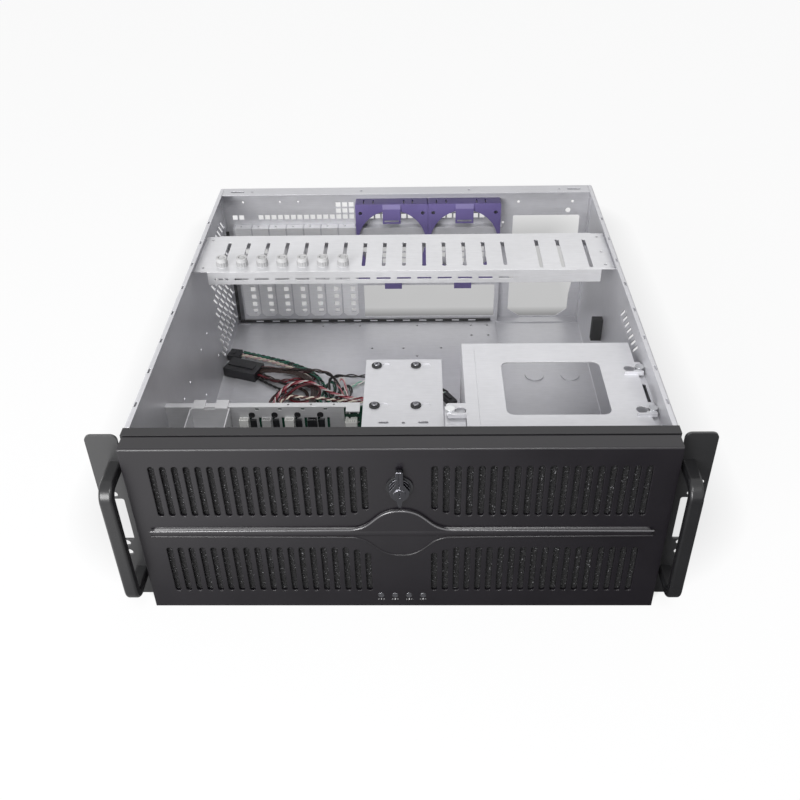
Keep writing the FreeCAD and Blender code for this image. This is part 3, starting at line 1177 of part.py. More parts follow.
def port_box():
    """Open-topped housing of the front sockets, with two tabs bent back over the rail."""
    t = 1.0
    left, right = PORT_BOX_LEFT, port_box_right()
    back = RAIL_Y - 2.0
    front = back - PORT_BOX_DEPTH
    low, high = PORT_BOX_BOTTOM, RAIL_TOP
    shell = box(left, right, front, back, low, high).cut(box(left + t, right - t, front - 1, back - t, low + t, high + 1))
    width = 11.0
    tabs = [box(left + 2, left + 2 + width, back - t, back + 11.5, high, high + t),
            box(right - 2 - width, right - 2, back - t, back + 11.5, high, high + t)]
    arms = [box(left, left + t, PANEL_SHEET, front, low, low + 14), box(right - t, right, PANEL_SHEET, front, low, low + 14)]
    return union([shell] + tabs + arms)


def supply_stop():
    """Rubber block on the right wall that the power supply's front end meets."""
    return box(INNER - STOP_WIDTH, INNER, STOP_Y, STOP_Y + STOP_DEPTH, STOP_Z, STOP_Z + STOP_HEIGHT)


# ---------------------------------------------------------------- leads
def lead(points, radius):
    """Tube of straight runs joined by tangent arcs, each as large as its two runs allow."""
    points = [Vector(*point) for point in points]
    edges, start, radii = [], points[0], []
    for before, corner, after in zip(points, points[1:], points[2:]):
        to_back, to_front = (before - corner), (after - corner)
        shorter = min(to_back.Length, to_front.Length)
        to_back.normalize()
        to_front.normalize()
        turn = math.pi - to_back.getAngle(to_front)
        bend = 0.45 * shorter / math.tan(turn / 2)
        radii.append(bend)
        first, last = corner + to_back * (0.45 * shorter), corner + to_front * (0.45 * shorter)
        bisector = to_back + to_front
        bisector.normalize()
        middle = corner + bisector * (bend / math.cos(turn / 2) - bend)
        edges += [Part.LineSegment(start, first).toShape(), Part.Arc(first, middle, last).toShape()]
        start = last
    edges.append(Part.LineSegment(start, points[-1]).toShape())
    path = Part.Wire(edges)
    along = points[1] - points[0]
    profile = Part.Wire([Part.Circle(points[0], along, radius).toShape()])
    tube = path.makePipeShell([profile], True, False)
    expected = math.pi * radius ** 2 * path.Length
    print("lead radii", [round(value, 1) for value in radii], "length", round(path.Length, 1),
          "volume ratio", round(tube.Volume / expected, 4))
    return tube


def leads():
    """Routes of the leads: each leaves a socket behind the board, drops to the floor and ends in a plug.

    The points past the board's side are chosen along the lie of the leads.
    """
    back = RAIL_Y + STEEL + 1.0 + BOARD_THICKNESS + SOCKET_DEPTH
    red, black, flat, white, green, mint = [(x, back, SOCKET_Z) for x in socket_places()]
    return {
        "lead_red": [red, (-132, 150, SOCKET_Z), (-137, 174, 62), (-141, 206, 36), (-143.5, 238, 17), (-143, 268, 12),
                     (-132, 290, 14.5), (-108, 291, 19), (-88, 272, 19), (-66, 263.5, 15), (-43, 268, 10), (-15, 281, 6.4),
                     (14, 290, 6), (32, 288, 6.2), (40.6, 278.2, 6.4)],
        "lead_black": [black, (-121.6, 150, SOCKET_Z), (-122, 172, 58), (-120.5, 204, 30), (-119, 238, 10), (-121, 268, 5.2),
                       (-133, 288, 5), (-152, 300, 5.4), (-171.3, 314.4, 6.2)],
        "lead_flat": [flat, (-111.2, 150, SOCKET_Z), (-109, 174, 58), (-107, 206, 30), (-105.5, 240, 11), (-108, 272, 7),
                      (-122, 296, 7), (-144, 311, 7.4), (-168.2, 321.2, 8.2)],
        "lead_white": [white, (-100.8, 150, SOCKET_Z), (-98.5, 174, 58), (-97, 206, 30), (-96, 240, 10), (-96.5, 272, 6),
                       (-104, 301, 6), (-124, 321, 6.6), (-149, 333, 7.6), (-172, 342, 8.6), (-193.5, 354, 8.4)],
        "lead_green": [green, (-90.4, 150, SOCKET_Z), (-88.5, 174, 58), (-87.5, 206, 30), (-87, 240, 10), (-87, 272, 6),
                       (-92, 302, 6), (-108, 326, 6.4), (-132, 341, 7), (-158, 352, 7.4), (-192, 364, 8)],
        "lead_mint": [mint, (-80, 150, SOCKET_Z), (-77.5, 174, 58), (-76.5, 206, 30), (-76, 240, 10), (-75, 270, 5.6),
                      (-66, 296, 5), (-44, 311, 5), (-14, 312, 5), (14, 305, 5), (34, 293, 5.4), (44.4, 280.6, 6.4)],
    }


def plug(length, width, height, turn, place):
    """Connector housing with a stepped latch side, turned about Z and set down with its middle at place."""
    body = box(-length / 2, length / 2, -width / 2, width / 2, 0, height)
    latch = box(-length / 2 + 2, length / 2 - 6, -width / 6, width / 6, height, height + 1.2)
    solid = body.fuse(latch).removeSplitter()
    solid.rotate(Vector(0, 0, 0), Vector(0, 0, 1), turn)
    solid.translate(Vector(*place))
    return solid


def harness_connectors():
    """Large black housing by the left wall and the small one behind it."""
    return Part.makeCompound([plug(40, 24, 11, -20, (-187, 328, FIELD_TOP)), plug(14, 15, 7, -12, (-202.5, 361, FIELD_TOP))])


def small_connector():
    """Plug that lies on the floor beside the bay cage."""
    return plug(19, 9, 6.5, -58, (47.6, 271.3, FIELD_TOP))


# ---------------------------------------------------------------- assembly
def build():
    parts["chassis_base"] = chassis_base()
    parts["rear_panel"] = rear_panel()
    for i, x in enumerate(slot_centres()):
        parts[f"slot_cover_{i + 1}"] = slot_cover(x)
    case_screws = [screw("z", (x, REAR_FACE - LEDGE_DEPTH / 2), LEDGE_TOP + COVER_THICKNESS, 4, 1) for x in cover_screws()]
    case_screws += [screw("z", place, BAR_TOP, 4, 1) for place in bar_screws()]
    case_screws += [screw("z", place, CASE_HEIGHT, 4, 1) for place in lid_screws()]
    case_screws += [screw("z", place, BRACKET_TOP + 1.2, STEEL + 5, 1) for place in keyhole_places()]
    parts["case_screws"] = Part.makeCompound(case_screws)
    parts["card_retainer_bar"] = card_retainer_bar()
    for i, x in enumerate(bar_slot_centres()[:POST_COUNT]):
        parts[f"hold_down_post_{i + 1}"] = hold_down_post(x)
    left, right = fan_centres()
    parts["fan_holder_left"] = fan_holder(left)
    parts["fan_holder_right"] = fan_holder(right)
    parts["front_panel"] = front_panel()
    for i in range(BAY_COUNT):
        parts[f"bay_cover_{i + 1}"] = bay_cover(i)
    parts["power_button"] = push_button(POWER_X, BUTTON_RADIUS)
    parts["reset_button"] = push_button(RESET_X, BUTTON_RADIUS - 1.5)
    parts["button_board"] = button_board()
    parts["front_door"] = front_door()
    parts["door_filter_left"] = foam_filter(-1)
    parts["door_filter_right"] = foam_filter(1)
    parts["filter_frame"] = filter_frame()
    parts["led_lenses"] = led_lenses()
    parts["lock_bezel"] = lock_bezel()
    parts["lock_knob"] = lock_knob()
    parts["lock_cam"] = lock_cam()
    parts["door_hinge_pins"] = hinge_pins()
    parts["ear_right"] = ear_right()
    parts["ear_left"] = mirrored(parts["ear_right"])
    parts["handle_right"] = handle_right()
    parts["handle_left"] = mirrored(parts["handle_right"])
    parts["front_screws"] = front_screws()
    parts["bay_cage"] = bay_cage()
    parts["cage_rail_left"] = cage_rail_left()
    parts["cage_rail_right"] = cage_rail_right()
    parts["cage_hangers"] = cage_hangers()
    parts["drive_bracket"] = drive_bracket()
    parts["bracket_grommets"] = bracket_grommets()
    parts["backplane_rail"] = backplane_rail()
    parts["backplane_board"] = backplane_board()
    parts["backplane_connectors"] = backplane_connectors()
    parts["port_box"] = port_box()
    parts["supply_stop"] = supply_stop()
    parts["harness_connectors"] = harness_connectors()
    parts["small_connector"] = small_connector()
    for name, points in leads().items():
        parts[name] = lead(points, FLAT_LEAD_RADIUS if name == "lead_flat" else LEAD_RADIUS)


def export():
    os.makedirs("parts", exist_ok=True)
    for name, shape in parts.items():
        moved = shape.copy()
        moved.translate(Vector(0, -ORIGIN_Y, 0))
        moved.exportStep(os.path.join("parts", name + ".step"))
        print(name, len(shape.Solids), round(shape.Volume, 1), "valid" if shape.isValid() else "INVALID")


build()
export()
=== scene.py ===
import logging
import math
from dataclasses import dataclass
from enum import Enum

import bmesh
import bpy
from mathutils import Matrix, Vector


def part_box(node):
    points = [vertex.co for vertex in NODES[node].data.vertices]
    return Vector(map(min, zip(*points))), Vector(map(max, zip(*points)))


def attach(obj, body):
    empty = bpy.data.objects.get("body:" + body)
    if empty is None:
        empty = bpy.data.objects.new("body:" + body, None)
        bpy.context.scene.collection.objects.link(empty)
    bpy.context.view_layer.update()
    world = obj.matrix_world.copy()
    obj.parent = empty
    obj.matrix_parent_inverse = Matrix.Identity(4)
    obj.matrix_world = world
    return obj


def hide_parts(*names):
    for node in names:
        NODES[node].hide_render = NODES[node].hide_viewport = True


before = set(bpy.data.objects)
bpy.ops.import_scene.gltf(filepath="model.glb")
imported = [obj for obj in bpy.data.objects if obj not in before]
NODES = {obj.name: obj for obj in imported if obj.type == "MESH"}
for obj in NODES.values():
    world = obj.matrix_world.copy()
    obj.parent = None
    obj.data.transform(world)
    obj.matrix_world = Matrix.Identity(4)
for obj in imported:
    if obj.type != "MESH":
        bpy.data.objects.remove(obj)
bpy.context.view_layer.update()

"""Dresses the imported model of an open-topped rackmount server case.

The frame gives the folded steel body, the hinged front door, the bay cage, the card bar and the other rigid pieces.
This file gives them their finishes, adds the filter foams, the twisted leads, the cross-headed screws and the small
fittings, and sets up the studio. Fields are in millimetres where nothing else is said, and shares are of 1.
"""

Piece = bpy.types.Object
Material = bpy.types.Material
Node = bpy.types.Node
Socket = bpy.types.NodeSocket
Triple = tuple[float, float, float]

LOG = logging.getLogger("server_case")
MM = 0.001
SAME_POINT = 1e-6
FACING = 0.9
UP = Vector((0, 0, 1))
TURNED_TO_FRONT = (math.pi / 2, 0, 0)
EAR_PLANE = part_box("ear_right")[0][1]


# ---------------------------------------------------------------- modelling helpers
def clear_selection() -> None:
    """Leave object mode with nothing selected."""
    if bpy.context.object is not None and bpy.context.object.mode != "OBJECT":
        bpy.ops.object.mode_set(mode="OBJECT")
    bpy.ops.object.select_all(action="DESELECT")


def make_active(piece: Piece) -> None:
    """Select one piece alone and make it active.

    Args:
        piece: The object to work on.
    """
    clear_selection()
    piece.select_set(True)
    bpy.context.view_layer.objects.active = piece


def put_in_scene(name: str, data: bpy.types.ID) -> Piece:
    """Put a mesh, curve, light or camera into the scene.

    Args:
        name: The object's name.
        data: What the object shows.

    Returns:
        The object.
    """
    piece = bpy.data.objects.new(name, data)
    bpy.context.scene.collection.objects.link(piece)
    return piece


def apply_modifiers(piece: Piece) -> None:
    """Apply every modifier of a piece in order.

    Args:
        piece: The object whose modifiers are applied.
    """
    make_active(piece)
    for modifier in list(piece.modifiers):
        bpy.ops.object.modifier_apply(modifier=modifier.name)


def copy_of(piece: Piece, place: Matrix) -> Piece:
    """Copy a piece with its own mesh and put the copy in place.

    Args:
        piece: The object to copy.
        place: The copy's matrix.

    Returns:
        The copy.
    """
    twin = put_in_scene(piece.name, piece.data.copy())
    twin.matrix_world = place
    return twin


def join(pieces: list[Piece], name: str) -> Piece:
    """Join pieces into one object at the origin, unturned and unscaled.

    Args:
        pieces: The objects to join; the first one stays.
        name: The name of the result.

    Returns:
        The joined object.
    """
    make_active(pieces[0])
    for piece in pieces:
        piece.select_set(True)
    if len(pieces) > 1:
        bpy.ops.object.join()
    bpy.ops.object.transform_apply(location=True, rotation=True, scale=True)
    pieces[0].name = pieces[0].data.name = name
    return pieces[0]


def discard(*pieces: Piece) -> None:
    """Remove helper objects for good.

    Args:
        pieces: The objects to remove.
    """
    for piece in pieces:
        bpy.data.objects.remove(piece, do_unlink=True)


def box_piece(middle: Triple, size: Triple, softness: float = 0.0, turn: Triple = (0, 0, 0)) -> Piece:
    """Model a box.

    Args:
        middle: Its middle, in metres.
        size: Its size, in metres.
        softness: How far its edges are bevelled, in millimetres.
        turn: Its rotation, which is applied.

    Returns:
        The box, which is active.
    """
    clear_selection()
    bpy.ops.mesh.primitive_cube_add(size=1, location=middle, rotation=turn, scale=size)
    bpy.ops.object.transform_apply(location=True, rotation=True, scale=True)
    if softness:
        bpy.ops.object.mode_set(mode="EDIT")
        bpy.ops.mesh.select_all(action="SELECT")
        bpy.ops.mesh.bevel(offset=softness * MM, segments=2)
        bpy.ops.object.mode_set(mode="OBJECT")
    return bpy.context.object


def rod_piece(radius: float, height: float, sides: int, middle: Triple = (0, 0, 0),
              turn: Triple = (0, 0, 0)) -> Piece:
    """Model a rod that stands on end until it is turned.

    Args:
        radius: Its radius, in metres.
        height: Its height, in metres.
        sides: How many flat sides it is drawn with.
        middle: Its middle, in metres.
        turn: Its rotation, which is left on the object.

    Returns:
        The rod, which is active.
    """
    clear_selection()
    bpy.ops.mesh.primitive_cylinder_add(vertices=sides, radius=radius, depth=height, location=middle, rotation=turn)
    return bpy.context.object


def push_faces(piece: Piece, way: Vector, rim: float, move: Vector, extrude: bool = True) -> None:
    """Inset the faces that look one way and push what is left of them in or out.

    Args:
        piece: The active piece.
        way: The way the faces look.
        rim: How wide a rim stays round them, in metres.
        move: How far they go, in metres.
        extrude: Whether new walls follow them, or only the rim slopes.
    """
    bpy.ops.object.mode_set(mode="EDIT")
    bm = bmesh.from_edit_mesh(piece.data)
    for face in bm.faces:
        face.select_set(face.normal.dot(way) > FACING)
    bmesh.update_edit_mesh(piece.data)
    bpy.ops.mesh.inset(thickness=rim)
    if extrude:
        bpy.ops.mesh.extrude_region_move(TRANSFORM_OT_translate={"value": tuple(move)})
    else:
        bpy.ops.transform.translate(value=tuple(move))
    bpy.ops.object.mode_set(mode="OBJECT")


def solids_of(node: str) -> list[tuple[Vector, Vector, list[Vector]]]:
    """Find the separate solids of a CAD node.

    Args:
        node: The node's name.

    Returns:
        The lowest corner, the highest corner and the points of each solid, in metres.
    """
    bm = bmesh.new()
    bm.from_mesh(NODES[node].data)
    bmesh.ops.remove_doubles(bm, verts=bm.verts, dist=SAME_POINT)
    seen: set[bmesh.types.BMVert] = set()
    solids = []
    for start in bm.verts:
        if start in seen:
            continue
        stack, points = [start], []
        seen.add(start)
        while stack:
            vert = stack.pop()
            points.append(vert.co.copy())
            for edge in vert.link_edges:
                other = edge.other_vert(vert)
                if other not in seen:
                    seen.add(other)
                    stack.append(other)
        axes = list(zip(*points))
        solids.append((Vector([min(axis) for axis in axes]), Vector([max(axis) for axis in axes]), points))
    bm.free()
    return solids


# ---------------------------------------------------------------- shader helpers
class NodeTree:
    """A thin hand on a node tree, so that finishes read as short recipes."""

    def __init__(self, tree: bpy.types.NodeTree) -> None:
        """Keep the tree.

        Args:
            tree: The shader node tree to build in.
        """
        self.tree = tree

    def feed(self, target: Socket, value: object) -> None:
        """Link a socket to an input, or set a constant on it.

        Args:
            target: The input.
            value: A socket, number, vector or colour.
        """
        if isinstance(value, Socket):
            self.tree.links.new(value, target)
        elif target.type == "RGBA":
            target.default_value = (*value[:3], 1.0)
        else:
            target.default_value = value

    def add(self, kind: str, *feeds: object, **values: object) -> Node:
        """Add a node and feed it.

        Args:
            kind: The node type without its ShaderNode prefix.
            feeds: What goes into its first inputs.
            values: Other inputs by name, with underscores for spaces, or node properties in lower case.

        Returns:
            The new node.
        """
        node = self.tree.nodes.new("ShaderNode" + kind)
        for key, value in values.items():
            label = key.replace("_", " ")
            if key[0].isupper() and label in node.inputs:
                self.feed(node.inputs[label], value)
            else:
                setattr(node, key, value)
        for target, value in zip(node.inputs, feeds):
            self.feed(target, value)
        return node

    def mix(self, factor: object, first: object, second: object, kind: str = "RGBA") -> Socket:
        """Blend two colours or two numbers.

        Args:
            factor: A socket or number.
            first: What stands at factor 0.
            second: What stands at factor 1.
            kind: RGBA for colours, FLOAT for numbers.

        Returns:
            The blend.
        """
        node = self.add("Mix", factor, data_type=kind)
        start, result = {"FLOAT": (2, 0), "RGBA": (6, 2)}[kind]
        self.feed(node.inputs[start], first)
        self.feed(node.inputs[start + 1], second)
        return node.outputs[result]

    def maths(self, operation: str, *values: object) -> Socket:
        """Work out one sum.

        Args:
            operation: Its kind.
            values: Sockets or numbers.

        Returns:
            The result.
        """
        return self.add("Math", *values, operation=operation).outputs[0]

    def span(self, value: Socket, low: float, high: float, to_low: float, to_high: float) -> Socket:
        """Map a value from one span to another, clamped.

        Args:
            value: The value.
            low: Start of the span that comes in.
            high: End of the span that comes in.
            to_low: Result at the start.
            to_high: Result at the end.

        Returns:
            The mapped value.
        """
        return self.add("MapRange", value, low, high, to_low, to_high).outputs["Result"]


ROLLED_STRETCH = (60.0, 900.0, 900.0)
SPANGLE_SHARE = 0.25
CLOUD_SHARE = 0.5
MARK_SHARE = 0.55
# Edge mask that lightens edges, partly as rubbed wear and partly as a painted highlight.
EDGE_TURN_WEAR_AND_HIGHLIGHT = (0.98, 0.80, 0.0, 1.0)
WEAR_AND_HIGHLIGHT_PATCHES = (0.3, 0.6, 0.4, 1.0)


def rolled_grain(hand: NodeTree, place: Socket, size: Socket) -> dict[str, Socket]:
    """Draw zinc-coated sheet: long rolling marks and a faint spangle.

    Args:
        hand: The group's tree.
        place: Object coordinates.
        size: How fine the marks are.

    Returns:
        The tone and the height.
    """
    stretch = hand.add("Mapping", place, Scale=ROLLED_STRETCH)
    marks = hand.add("TexNoise", stretch.outputs["Vector"], Scale=size, Detail=3.0, Roughness=0.6).outputs["Fac"]
    spangle = hand.add("TexVoronoi", place, Scale=130.0)
    cloud = hand.add("TexNoise", place, Scale=14.0, Detail=2.0)
    soft = hand.maths("MULTIPLY_ADD", spangle.outputs["Distance"], SPANGLE_SHARE, cloud.outputs["Fac"])
    soft = hand.maths("MULTIPLY", soft, CLOUD_SHARE)
    return {"Tone": hand.maths("MULTIPLY_ADD", marks, MARK_SHARE, soft), "Height": marks}


def grained_skin(hand: NodeTree, place: Socket, size: Socket) -> dict[str, Socket]:
    """Draw powder coat and moulded plastic: fine pebbles over slow waves.

    Args:
        hand: The group's tree.
        place: Object coordinates.
        size: How fine the pebbles are.

    Returns:
        The tone and the height.
    """
    pebbles = hand.add("TexNoise", place, Scale=size, Detail=2.0, Roughness=0.55)
    waves = hand.add("TexNoise", place, Scale=22.0, Detail=3.0)
    return {"Tone": waves.outputs["Fac"], "Height": pebbles.outputs["Fac"]}


def soft_edge(hand: NodeTree, place: Socket, size: Socket) -> dict[str, Socket]:
    """Round sharp edges in shading and find the edges that are lightened, partly as rubbed wear and partly as a
    painted highlight.

    Args:
        hand: The group's tree.
        place: Object coordinates.
        size: The rounding's radius in metres.

    Returns:
        The lightened edges, partly rubbed wear and partly a painted highlight, and the rounded normal.
    """
    normal = hand.add("Bevel", size, samples=4).outputs["Normal"]
    face = hand.add("NewGeometry")
    turn = hand.add("VectorMath", normal, face.outputs["Normal"], operation="DOT_PRODUCT")
    patches = hand.add("TexNoise", place, Scale=90.0, Detail=2.0)
    at_edge = hand.span(turn.outputs["Value"], *EDGE_TURN_WEAR_AND_HIGHLIGHT)
    in_patches = hand.span(patches.outputs["Fac"], *WEAR_AND_HIGHLIGHT_PATCHES)
    return {"Rub": hand.maths("MULTIPLY", at_edge, in_patches), "Normal": normal}


GROUP_RECIPES = {"RolledGrain": rolled_grain, "GrainedSkin": grained_skin, "SoftEdge": soft_edge}
GROUPS: dict[str, bpy.types.NodeTree] = {}


def shared_group(name: str) -> bpy.types.NodeTree:
    """Give a shader node group with the inputs Vector and Size, made once.

    Args:
        name: The group's name.

    Returns:
        The group's tree.
    """
    if name not in GROUPS:
        tree = GROUPS[name] = bpy.data.node_groups.new(name, "ShaderNodeTree")
        tree.interface.new_socket(name="Vector", in_out="INPUT", socket_type="NodeSocketVector")
        tree.interface.new_socket(name="Size", in_out="INPUT", socket_type="NodeSocketFloat")
        hand, source = NodeTree(tree), tree.nodes.new("NodeGroupInput")
        results = GROUP_RECIPES[name](hand, source.outputs["Vector"], source.outputs["Size"])
        for label in results:
            kind = "NodeSocketVector" if label == "Normal" else "NodeSocketFloat"
            tree.interface.new_socket(name=label, in_out="OUTPUT", socket_type=kind)
        sink = tree.nodes.new("NodeGroupOutput")
        for label, value in results.items():
            hand.feed(sink.inputs[label], value)
    return GROUPS[name]


def shaded(colour: Triple, factor: float) -> Triple:
    """Scale a colour.

    Args:
        colour: Linear red, green and blue.
        factor: What each is multiplied by.

    Returns:
        The scaled colour, no channel over 1.
    """
    return tuple(min(1.0, channel * factor) for channel in colour)


class Recipe(NodeTree):
    """A material in the making, built round one Principled shader."""

    def __init__(self, name: str) -> None:
        """Start the material.

        Args:
            name: The material's name.
        """
        self.material = bpy.data.materials.new(name)
        self.material.use_nodes = True
        super().__init__(self.material.node_tree)
        self.shader = self.tree.nodes["Principled BSDF"]
        self.place = self.add("TexCoord").outputs["Object"]

    def group(self, name: str, size: float) -> Node:
        """Place a shared group, fed by object coordinates.

        Args:
            name: The group's name.
            size: Its size.

        Returns:
            The group node.
        """
        node = self.tree.nodes.new("ShaderNodeGroup")
        node.node_tree = shared_group(name)
        self.feed(node.inputs["Vector"], self.place)
        self.feed(node.inputs["Size"], size)
        return node

    def set(self, **values: object) -> None:
        """Feed the shader.

        Args:
            values: Its inputs by name, with underscores for spaces.
        """
        for key, value in values.items():
            self.feed(self.shader.inputs[key.replace("_", " ")], value)

    def bump(self, height: Socket, strength: float, distance: float, edge: Node | None = None) -> None:
        """Roughen the shader's normal.

        Args:
            height: How high the skin stands.
            strength: The bump's share.
            distance: Its depth in millimetres.
            edge: The soft edges that it lies over, if any.
        """
        node = self.add("Bump", Strength=strength, Distance=distance * MM, Height=height)
        if edge is not None:
            self.feed(node.inputs["Normal"], edge.outputs["Normal"])
        self.set(Normal=node.outputs["Normal"])


# ---------------------------------------------------------------- finishes
@dataclass(frozen=True)
class Finish:
    """What every finish has: a name and a colour in linear red, green and blue."""

    name: str
    colour: Triple

    def tint(self, recipe: Recipe, tone: Socket, shades: tuple[float, float]) -> Socket:
        """Vary the colour.

        Args:
            recipe: The material in the making.
            tone: Where it is dark and light.
            shades: What the colour is multiplied by at tone 0 and at tone 1.

        Returns:
            The varied colour.
        """
        return recipe.mix(tone, *(shaded(self.colour, shade) for shade in shades))

    def paint(self, recipe: Recipe) -> None:
        """Feed the material's shader.

        Args:
            recipe: The material in the making.
        """
        raise NotImplementedError

    def build(self) -> Material:
        """Make the material.

        Returns:
            The finished material.
        """
        recipe = Recipe(self.name)
        self.paint(recipe)
        return recipe.material


@dataclass(frozen=True)
class GrainedCoat(Finish):
    """Powder coat or moulded plastic with a fine pebbled skin, paler at its edges, partly as rubbed wear and partly as
    a painted highlight.
    """

    roughness: float = 0.45
    size: float = 1500.0
    depth: float = 0.12
    contrast: float = 0.08
    soften: float = 0.4
    specular: float = 0.5
    rub: float = 1.8
    metallic: float = 0.0
    grain: str = "GrainedSkin"
    relief: float = 0.3
    tones: tuple[float, float] = (0.35, 0.65)
    sheens: tuple[float, float] = (0.3, 0.7)
    swing: float = 0.04

    def paint(self, recipe: Recipe) -> None:
        """Feed the material's shader.

        Args:
            recipe: The material in the making.
        """
        skin = recipe.group(self.grain, self.size)
        edge = recipe.group("SoftEdge", self.soften * MM)
        tone = recipe.span(skin.outputs["Tone"], *self.tones, 0.0, 1.0)
        colour = self.tint(recipe, tone, (1 - self.contrast, 1 + self.contrast))
        # Edges lighter: partly rubbed wear, partly a painted highlight.
        colour = recipe.mix(edge.outputs["Rub"], colour, shaded(self.colour, self.rub))
        low, high = self.roughness - self.swing, self.roughness + self.swing
        recipe.set(Base_Color=colour, Roughness=recipe.span(skin.outputs["Tone"], *self.sheens, low, high),
                   Metallic=self.metallic, Specular_IOR_Level=self.specular)
        recipe.bump(skin.outputs["Height"], self.depth, self.relief, edge)


@dataclass(frozen=True)
class SheetSteel(GrainedCoat):
    """Zinc-coated steel sheet with rolling marks and brighter edges, partly cut metal and partly a painted highlight.
    """

    roughness: float = 0.40
    size: float = 1.0
    contrast: float = 0.09
    soften: float = 0.35
    rub: float = 1.4
    metallic: float = 0.45
    grain: str = "RolledGrain"
    relief: float = 0.2
    tones: tuple[float, float] = (0.3, 0.8)
    sheens: tuple[float, float] = (0.3, 0.8)
    swing: float = 0.06


@dataclass(frozen=True)
class PlatedMetal(Finish):
    """Bright or dark plating on small metal pieces."""

    roughness: float = 0.22
    soften: float = 0.25
    rub: float = 1.35
    size: float = 900.0
    shades: tuple[float, float] = (0.85, 1.1)
    sheens: tuple[float, float] = (0.3, 0.7)
    swing: tuple[float, float] = (-0.05, 0.08)

    def paint(self, recipe: Recipe) -> None:
        """Feed the material's shader.

        Args:
            recipe: The material in the making.
        """
        tone = recipe.group("GrainedSkin", self.size).outputs["Tone"]
        edge = recipe.group("SoftEdge", self.soften * MM)
        colour = self.tint(recipe, tone, self.shades)
        # Edges lighter: partly rubbed wear, partly a painted highlight.
        colour = recipe.mix(edge.outputs["Rub"], colour, shaded(self.colour, self.rub))
        rough = recipe.span(tone, *self.sheens, *(self.roughness + swing for swing in self.swing))
        recipe.set(Base_Color=colour, Roughness=rough, Metallic=1.0, Normal=edge.outputs["Normal"])


@dataclass(frozen=True)
class OpenFoam(Finish):
    """Reticulated filter foam, darker in its pores as painted shade, with a few painted glints on its struts."""

    cell: float = 520.0
    strut: tuple[float, float] = (0.02, 0.30)
    strut_shades: tuple[float, float] = (0.6, 1.9)
    cavity_painted_shade: float = 0.25
    cloud: float = 160.0
    glint_cell: float = 832.0
    glint: tuple[float, float] = (0.68, 0.74)
    painted_glint_colour: Triple = (0.20, 0.20, 0.21)
    relief: float = 1.2

    def paint(self, recipe: Recipe) -> None:
        """Feed the material's shader.

        Args:
            recipe: The material in the making.
        """
        cells = recipe.add("TexVoronoi", recipe.place, Scale=self.cell, feature="DISTANCE_TO_EDGE")
        strut = recipe.span(cells.outputs["Distance"], *self.strut, 1.0, 0.0)
        cloud = recipe.add("TexNoise", recipe.place, Scale=self.cloud, Detail=4.0).outputs["Fac"]
        lit = self.tint(recipe, cloud, self.strut_shades)
        # The pores are darkened as painted shade.
        lit = recipe.mix(strut, shaded(self.colour, self.cavity_painted_shade), lit)
        # Light specks on the struts as painted glints.
        painted_glints = recipe.add("TexNoise", recipe.place, Scale=self.glint_cell, Detail=1.0).outputs["Fac"]
        lit = recipe.mix(recipe.span(painted_glints, *self.glint, 0.0, 1.0), lit, self.painted_glint_colour)
        recipe.set(Base_Color=lit, Roughness=0.85)
        recipe.bump(strut, 0.9, self.relief)


@dataclass(frozen=True)
class CircuitBoard(Finish):
    """Green solder mask over fine tracks."""

    track: float = 140.0
    gap: float = 0.08
    shades: tuple[float, float] = (1.0, 2.2)
    relief: float = 0.2

    def paint(self, recipe: Recipe) -> None:
        """Feed the material's shader.

        Args:
            recipe: The material in the making.
        """
        turn = recipe.add("Mapping", recipe.place, Rotation=TURNED_TO_FRONT)
        tracks = recipe.add("TexBrick", turn.outputs["Vector"], Scale=self.track, Mortar_Size=self.gap).outputs["Fac"]
        recipe.set(Base_Color=self.tint(recipe, tracks, self.shades), Roughness=0.3)
        recipe.bump(tracks, 0.3, self.relief)


@dataclass(frozen=True)
class SmokedLens(Finish):
    """Smoked window of an indicator lamp."""

    size: float = 700.0
    shades: tuple[float, float] = (0.75, 1.0)

    def paint(self, recipe: Recipe) -> None:
        """Feed the material's shader.

        Args:
            recipe: The material in the making.
        """
        tone = recipe.group("GrainedSkin", self.size).outputs["Tone"]
        recipe.set(Base_Color=self.tint(recipe, tone, self.shades), Roughness=0.10)


@dataclass(frozen=True)
class Sheath(Finish):
    """Soft coloured insulation of one wire."""

    size: float = 500.0
    shades: tuple[float, float] = (0.7, 1.3)
    sheens: tuple[float, float, float, float] = (0.3, 0.7, 0.30, 0.42)
    relief: float = 0.2

    def paint(self, recipe: Recipe) -> None:
        """Feed the material's shader.

        Args:
            recipe: The material in the making.
        """
        skin = recipe.group("GrainedSkin", self.size)
        tone = skin.outputs["Tone"]
        recipe.set(Base_Color=self.tint(recipe, tone, self.shades), Roughness=recipe.span(tone, *self.sheens))
        recipe.bump(skin.outputs["Height"], 0.1, self.relief)


